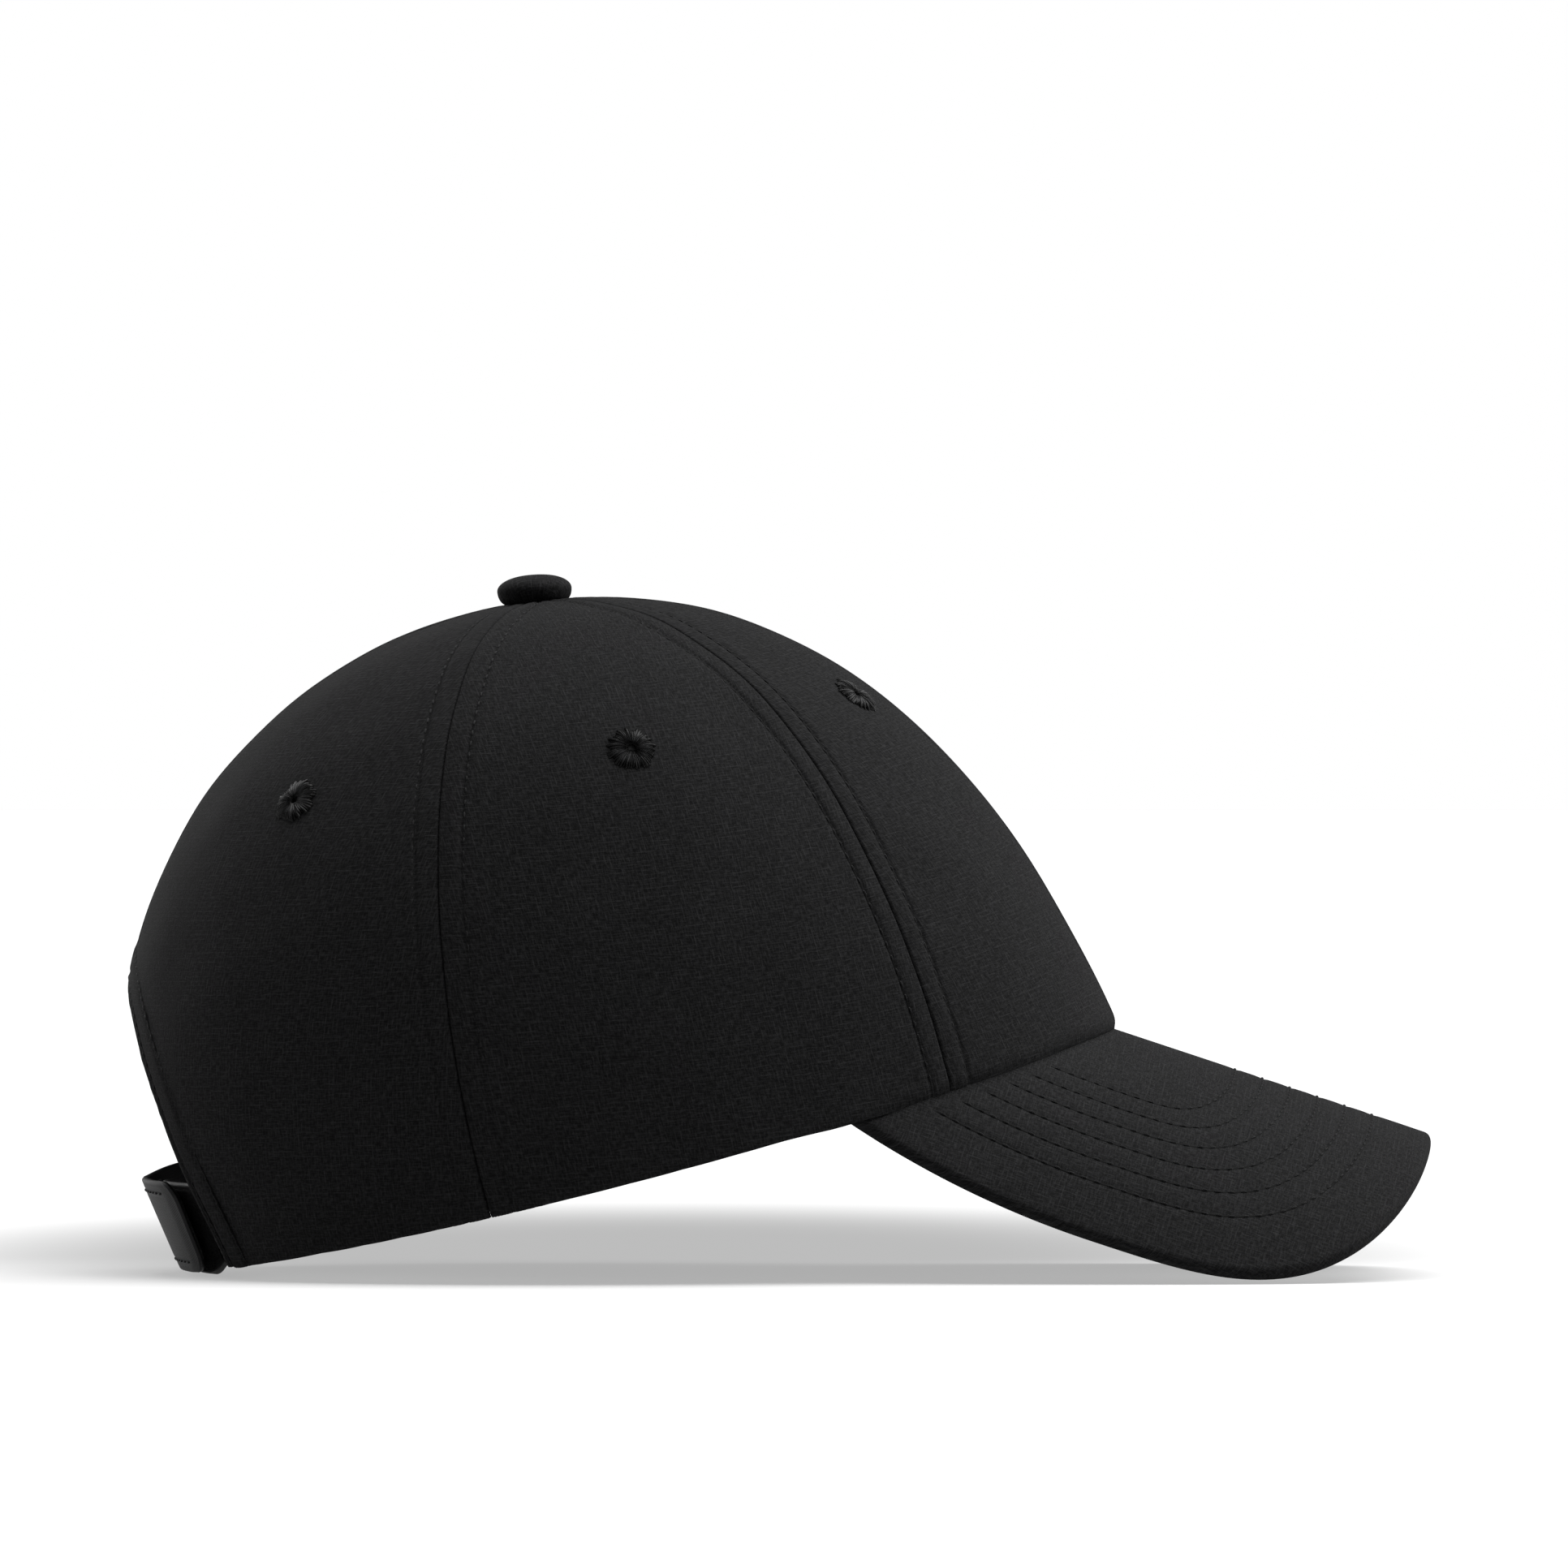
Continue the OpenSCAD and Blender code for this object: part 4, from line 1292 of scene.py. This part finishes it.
def button_profile(rise, inset):
    """Radius and height of the cover's cloth, from its gathered edge up to the middle."""
    level = np.abs(np.cos(rise))
    radius = np.where(rise > 0, (BUTTON_R - inset)*level**0.88,
                      lerp(BUTTON_LOW_R, BUTTON_R, level**0.9) - inset)
    half_height = np.where(rise > 0, BUTTON_H - inset - BUTTON_WIDEST,
                           BUTTON_WIDEST - BUTTON_LOW)
    return radius, BUTTON_WIDEST + half_height*np.sin(rise)


def make_button():
    """Cloth drawn over a dome and gathered under its widest part."""
    rise = np.radians(np.concatenate([np.linspace(-90, 0, 22), np.linspace(4, 89.6, 26)]))
    turn = ring_turns(144)
    low = ease(0.65 - np.sin(rise))[:, None]
    gather = low*(0.025*np.cos(22*turn) + 0.05*np.cos(5*turn + 1))
    layers = []
    for inset in (0, BUTTON_CLOTH):
        radius, height = button_profile(rise, inset)
        wide = radius[:, None] + gather
        tall = np.broadcast_to(height[:, None], wide.shape)
        layers.append(np.stack([wide*np.cos(turn), wide*np.sin(turn), tall], -1))
    outer, inner = (on_apex(layer)[:, ::-1] for layer in layers)
    # Flat, the cover is a disc: its grain is measured outwards from the middle
    run = run_length(np.stack(button_profile(rise, 0), -1), 0)
    out = (run[-1] - run)[:, None]
    uv = np.stack([out*np.cos(turn), out*np.sin(turn)], -1)[:, ::-1]
    piece = ring_mesh("button_cover_cloth", np.concatenate([outer, inner[::-1]]),
                      np.concatenate([uv, uv[::-1]]))
    on_cap(piece, "crown_cloth", CROWN_CLOTH, "button_cover")


# ---- Rear strap

MM_PER_DEG = STRAP_R*math.pi/180
HOOK_PIVOT = 28
HOOK_LIFT = 0.2
TAB_ROUND = 0.55
TAB_ROW_MARGIN = 2.6
# How far the tabs' lower edges rise at their roots, and how far the hook tab climbs
ROOT_LIFT = 6.0
ROOT_RISE = 2.2
# Half of the length over which a tab bends, beside its flex line
FLEX_REACH = 2.6
GLUE_GAP = 0.05
PAD_ROUND = 0.4
# Degrees from a tab's free end to its pad
PAD_INSET = 1.6
LOOP_PAD_MARGIN = 1.0


def strap_point(psi, h, depth, foot=0.0):
    """Point on the strap's cone; psi runs round from straight back to the left."""
    p = np.radians(psi)
    h = np.asarray(h) + foot
    r = STRAP_R + h*math.sin(STRAP_FLARE) - depth*math.cos(STRAP_FLARE)
    z = h*math.cos(STRAP_FLARE) + depth*math.sin(STRAP_FLARE)
    return np.stack([r*np.sin(p), r*np.cos(p) + STRAP_MID_Y, z + 0*r], -1)


def strap_out(psi):
    """Direction out of the strap's outer face."""
    p = np.radians(psi)
    return np.stack([np.sin(p)*math.cos(STRAP_FLARE), np.cos(p)*math.cos(STRAP_FLARE),
                     0*p - math.sin(STRAP_FLARE)], -1)


def in_hook_frame(points):
    """The hook tab lies a little askew, its root higher than its free end."""
    c, s = math.cos(HOOK_RISE), math.sin(HOOK_RISE)
    x, y, z = points[..., 0] + HOOK_PIVOT, points[..., 1], points[..., 2]
    return np.stack([x*c - z*s - HOOK_PIVOT, y, x*s + z*c + HOOK_LIFT], -1)


def as_it_lies(points):
    """The loop tab isn't askew."""
    return points


# Each tab: its free end and root in degrees, its flex line, the depth of its outer face,
# the height of its foot, how it lies, and its side (the hook tab is sewn on the left)
HOOK = {"free": HOOK_END, "root": SEWN, "flex": HOOK_FLEX, "depth": 0, "foot": 0,
        "lie": in_hook_frame, "side": 1}
LOOP = {"free": LOOP_END, "root": -SEWN, "flex": LOOP_FLEX, "depth": LOOP_DEPTH,
        "foot": LOOP_FOOT, "lie": as_it_lies, "side": -1}


def root_lift(psi, h, side):
    """The tabs narrow from below towards their sewn ends, to stay behind the panels.

    The hook tab, sewn on the left (side 1), also climbs a little towards its root.
    """
    lift = ROOT_LIFT*ease((side*psi - 20)/18)
    rise = ROOT_RISE*ease((psi - 4)/30)*(side > 0)
    return h + lift*(1 - h/STRAP_W) + rise


def on_tab(tab, psi, h, depth):
    """Point on a tab; the depth is measured from its outer face."""
    h = root_lift(psi, h, tab["side"])
    return tab["lie"](strap_point(psi, h, tab["depth"] + depth, tab["foot"]))


def tab_grid(free, root, inset=0.0):
    """Directions and heights over a tab whose free end has rounded corners."""
    width = STRAP_W - 2*inset
    h = spacings(width, 0.25, 0.9, 3.2, 1.5)
    r = CORNER_R - inset
    cut = roll(np.minimum(h, width - h), r, r)
    length = abs(root - free)*MM_PER_DEG
    along = spacings(length, 0.25, 1.2, 6.5, 3)/length
    direction = 1 if root > free else -1
    start = (free + direction*cut/MM_PER_DEG)[:, None]
    psi = start + (root - start)*along[None, :]
    return psi, np.broadcast_to((h + inset)[:, None], psi.shape), along*length, h


def edge_round(along, h, width, radius):
    """How much a piece's faces close up near its free end and its long edges."""
    side = np.minimum(h, width - h)[:, None]
    return roll(np.minimum(side, along[None, :]), radius, radius)


def strap_sheet(name, outer, inner, along, h, turned):
    """A strip of the strap; turned is for one whose root is at the right."""
    uv = np.stack([np.broadcast_to(along, h.shape), h], -1)
    if turned:
        outer, inner, uv = outer[:, ::-1], inner[:, ::-1], uv[:, ::-1]
    piece = closed_sheet(name, outer, inner, uv, side=-1)
    return piece


def tab_body(name, tab):
    """A double strap tab: soft body, sunk stitch lines and a folded, bevelled end."""
    psi, h, along, across = tab_grid(tab["free"], tab["root"])
    tight = edge_round(along, across, STRAP_W, TAB_ROUND)
    side = np.minimum(across, STRAP_W - across)[:, None]
    end = np.broadcast_to(along, psi.shape)
    relief = 0.1*ease(np.minimum(side, end)/4) - 0.3*(1 - ease(end/4.6))
    relief = relief - 0.14*bump_at(side, TAB_ROW_MARGIN, 0.5)*(end > 5)
    outer = on_tab(tab, psi, h, tight - relief)
    inner = on_tab(tab, psi, h, TAB_T - tight)
    return strap_sheet(name, outer, inner, along, h, tab["side"] < 0)


def tab_rows(tab, depth, sign):
    """Stitch rows along the two long edges of a tab, on its outer (1) or inner face."""
    side = tab["side"]
    psi = np.linspace(tab["free"] + side*5.5/MM_PER_DEG, tab["root"] - side*2/MM_PER_DEG, 90)
    return [(on_tab(tab, psi, np.full(psi.shape, h), depth), sign*strap_out(psi))
            for h in (TAB_ROW_MARGIN, STRAP_W - TAB_ROW_MARGIN)]


def make_tab(word, tab, row_depth, row_sign, seed):
    """One tab with its threads; the ends of its flex line are worked out but not used."""
    body = tab_body(f"{word}_tab_strap", tab)
    rows = tab_rows(tab, row_depth, row_sign)
    stitches = stitch_lines(f"{word}_tab_stitching", rows, seed=seed)
    dress(body, "strap_webbing", WEBBING, f"{word}_tab", f"{word}_tab_sewn_end")
    dress(stitches, "embroidery_thread", THREAD)
    p = math.radians(tab["flex"])
    middle = strap_point(tab["flex"], STRAP_W/2, TAB_T/2)
    reach = tab["side"]*FLEX_REACH*np.array([math.cos(p), -math.sin(p), 0])
    start, end = (tuple(tab["lie"](point)*MM) for point in (middle + reach, middle - reach))
    for piece in (body, stitches):
        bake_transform(piece)


def make_pad(name, tab, free, root, depth, inset):
    """A strip of hook or loop tape on a tab."""
    psi, h, along, across = tab_grid(free, root, inset)
    tight = 0.5*edge_round(along, across, STRAP_W - 2*inset, PAD_ROUND)
    outer = on_tab(tab, psi, h, depth + tight)
    inner = on_tab(tab, psi, h, depth + PAD_T - GLUE_GAP - tight)
    return strap_sheet(name, outer, inner, along, root_lift(psi, h, tab["side"]),
                       tab["side"] < 0)


def make_strap():
    make_tab("hook", HOOK, 0.02, 1, 81)
    make_tab("loop", LOOP, TAB_T - 0.02, -1, 83)
    hook = make_pad("hook_pad_tape", HOOK, HOOK_END + PAD_INSET, LOOP_END - 6,
                    TAB_T + GLUE_GAP, PAD_MARGIN)
    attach(hook, "hook_flap")
    dress(hook, "hook_tape", HOOKS, "hook_pad")
    loop = make_pad("loop_pad_tape", LOOP, LOOP_END - PAD_INSET, LOOP_FLEX + 3.2, -PAD_T,
                    LOOP_PAD_MARGIN)
    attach(loop, "loop_flap")
    dress(loop, "loop_pile", PILE, "loop_pad")
    make_pile()


PILE_COUNT = 2600
PILE_R = 0.06


def make_pile():
    """Short bent fibres standing on the loop pad."""
    rng = np.random.default_rng(90)
    psi = rng.uniform(LOOP_FLEX + 3.6, LOOP_END - 2.4, PILE_COUNT)
    h = rng.uniform(LOOP_PAD_MARGIN + 0.2, STRAP_W - LOOP_PAD_MARGIN - 0.2, PILE_COUNT)
    bend = rng.uniform(-1, 1, (PILE_COUNT, 2))
    tall = rng.uniform(0.25, 0.5, PILE_COUNT)
    share = np.linspace(0, 1, 4)
    lift = tall[:, None]*np.sin(share*math.pi*0.62)[None, :] - 0.15
    psi = psi[:, None] + bend[:, :1]*share**2*0.5
    h = h[:, None] + bend[:, 1:]*share**2*0.55
    centre = on_tab(LOOP, psi, h, -PAD_T - lift)
    p = np.radians(psi)
    out = np.stack([np.sin(p), np.cos(p), 0*p], -1)
    along = np.stack([np.cos(p), -np.sin(p), 0*p], -1)
    rise = unit(np.cross(out, along))
    turn = ring_turns(3)[None, None, :, None]
    ring = along[:, :, None]*np.cos(turn) + rise[:, :, None]*np.sin(turn)
    tube = centre[:, :, None] + PILE_R*(1 - 0.5*share)[None, :, None, None]*ring
    first = np.arange(PILE_COUNT)*12
    walls = (quads(4, 3, wrap_cols=True)[None] + first[:, None, None]).reshape(-1, 4)
    ends = [[int(f) + k for k in order] for f in first for order in ((2, 1, 0), (9, 10, 11))]
    mesh = bpy.data.meshes.new("loop_pad_pile")
    mesh.from_pydata((tube.reshape(-1, 3)*MM).tolist(), [], walls.tolist() + ends)
    pile = link_mesh("loop_pad_pile", mesh)
    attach(pile, "loop_flap")
    dress(pile, "loop_pile", PILE)


# ---- Hard parts kept from CAD

def dress_hard_parts():
    """Materials for the hard pieces inside, which keep their CAD meshes."""
    looks = {"visor_board": BOARD, "button_shell": STEEL, "button_base": STEEL,
             "button_rivet": STEEL}
    for name, material in looks.items():
        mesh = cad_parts[name].data
        mesh.materials.clear()
        mesh.materials.append(material)


# ---- Studio

CAMERA_DISTANCE = 3.5
FRAME_WIDTH = 0.3316
CAMERA_Y = -0.00086
CAMERA_Z = 0.1033
SENSOR = 36
CLIP = (0.05, 200)


def make_camera():
    data = bpy.data.cameras.new("camera")
    data.sensor_width = SENSOR
    data.lens = SENSOR*CAMERA_DISTANCE/FRAME_WIDTH
    data.clip_start, data.clip_end = CLIP
    camera = bpy.data.objects.new("camera", data)
    camera.location = (-CAMERA_DISTANCE, CAMERA_Y, CAMERA_Z)
    camera.rotation_euler = (math.radians(90), 0, math.radians(-90))
    bpy.context.scene.collection.objects.link(camera)
    bpy.context.scene.camera = camera


FLOOR_WHITE = 0.27
FLOOR_GLOW = 0.42
# The painted shade: its middle, and how far it reaches towards the camera, away from it
# and to each side, in metres
SHADE_MIDDLE = (0.14, 0.03)
SHADE_NEAR = 0.2
SHADE_FAR = 0.5
SHADE_SIDE = 0.19
SHADE_STRENGTH = 0.88
# Squared distances from its middle, as shares of that reach, where it begins and is full
SHADE_EDGE = (1.15, 0.1)
FLOOR_HALF = 60.0
FLOOR_Z = -0.0003


def floor_material():
    """White floor, with the soft grey shade that lies under and behind the cap."""
    material, tree, shader = start_material("floor", 1.0, 0.0)
    place = new_node(tree, "ShaderNodeSeparateXYZ", {0: object_coords(tree)})
    ahead = maths(tree, "SUBTRACT", place.outputs[0], SHADE_MIDDLE[0])
    aside = maths(tree, "SUBTRACT", place.outputs[1], SHADE_MIDDLE[1])
    far = maths(tree, "MAXIMUM", maths(tree, "MULTIPLY", ahead, 1/SHADE_FAR),
                maths(tree, "MULTIPLY", ahead, -1/SHADE_NEAR))
    wide = maths(tree, "MULTIPLY", aside, 1/SHADE_SIDE)
    spread = maths(tree, "ADD", maths(tree, "POWER", far, 2.0),
                   maths(tree, "MULTIPLY", wide, wide))
    fade = new_node(tree, "ShaderNodeMapRange",
                    {"Value": spread, "From Min": SHADE_EDGE[0],
                     "From Max": SHADE_EDGE[1]},
                    interpolation_type="SMOOTHSTEP")
    shade = maths(tree, "MULTIPLY", fade.outputs[0], SHADE_STRENGTH)
    colour = blend_colour(tree, shade, (FLOOR_WHITE, FLOOR_WHITE, FLOOR_WHITE), (0, 0, 0))
    tree.links.new(colour, shader.inputs["Base Color"])
    shader.inputs["Emission Color"].default_value = (1, 1, 1, 1)
    shader.inputs["Emission Strength"].default_value = FLOOR_GLOW
    return material


def make_floor():
    mesh = bpy.data.meshes.new("floor")
    corners = [(x*FLOOR_HALF, y*FLOOR_HALF, 0) for x, y in ((-1, -1), (1, -1), (1, 1), (-1, 1))]
    mesh.from_pydata(corners, [], [(0, 1, 2, 3)])
    floor = link_mesh("floor", mesh)
    floor.location = (0, 0, FLOOR_Z)
    mesh.materials.append(floor_material())


def make_sun(name, towards, strength, softness):
    """Soft light that comes from a direction."""
    data = bpy.data.lights.new(name, "SUN")
    data.energy = strength
    data.angle = math.radians(softness)
    sun = bpy.data.objects.new(name, data)
    sun.rotation_euler = Vector(towards).to_track_quat("Z", "Y").to_euler()
    bpy.context.scene.collection.objects.link(sun)


# Each light: [degrees round from the front towards the right side, height, strength, size]
LIGHTS = {"key": (346, 75, 6.9, 62), "low_front": (343, 15, 3.2, 60),
          "low_rear": (220, 15, 2.4, 60)}
ROOM_LIGHT = 0.06


def make_lights():
    """Three soft suns; the room is white to the camera and dim as a light."""
    for name, (turn, rise, strength, softness) in LIGHTS.items():
        a, e = math.radians(turn), math.radians(rise)
        towards = (-math.sin(a)*math.cos(e), -math.cos(a)*math.cos(e), math.sin(e))
        make_sun(name, towards, strength, softness)
    world = bpy.data.worlds.new("world")
    world.use_nodes = True
    tree = world.node_tree
    path = new_node(tree, "ShaderNodeLightPath")
    strength = remap(tree, path.outputs["Is Camera Ray"], 0.0, 1.0, ROOM_LIGHT, 1.0)
    tree.nodes["Background"].inputs["Color"].default_value = (1, 1, 1, 1)
    tree.links.new(strength, tree.nodes["Background"].inputs["Strength"])
    bpy.context.scene.world = world


make_camera()
make_floor()
make_lights()
bpy.context.scene.view_settings.view_transform = "Standard"
make_crown()
make_crown_stitching()
make_arch_stitching()
make_buckram()
make_tapes()
make_tape_stitching()
make_binding()
make_sweatband()
make_foam()
make_eyelets()
make_visor()
make_button()
make_strap()
dress_hard_parts()
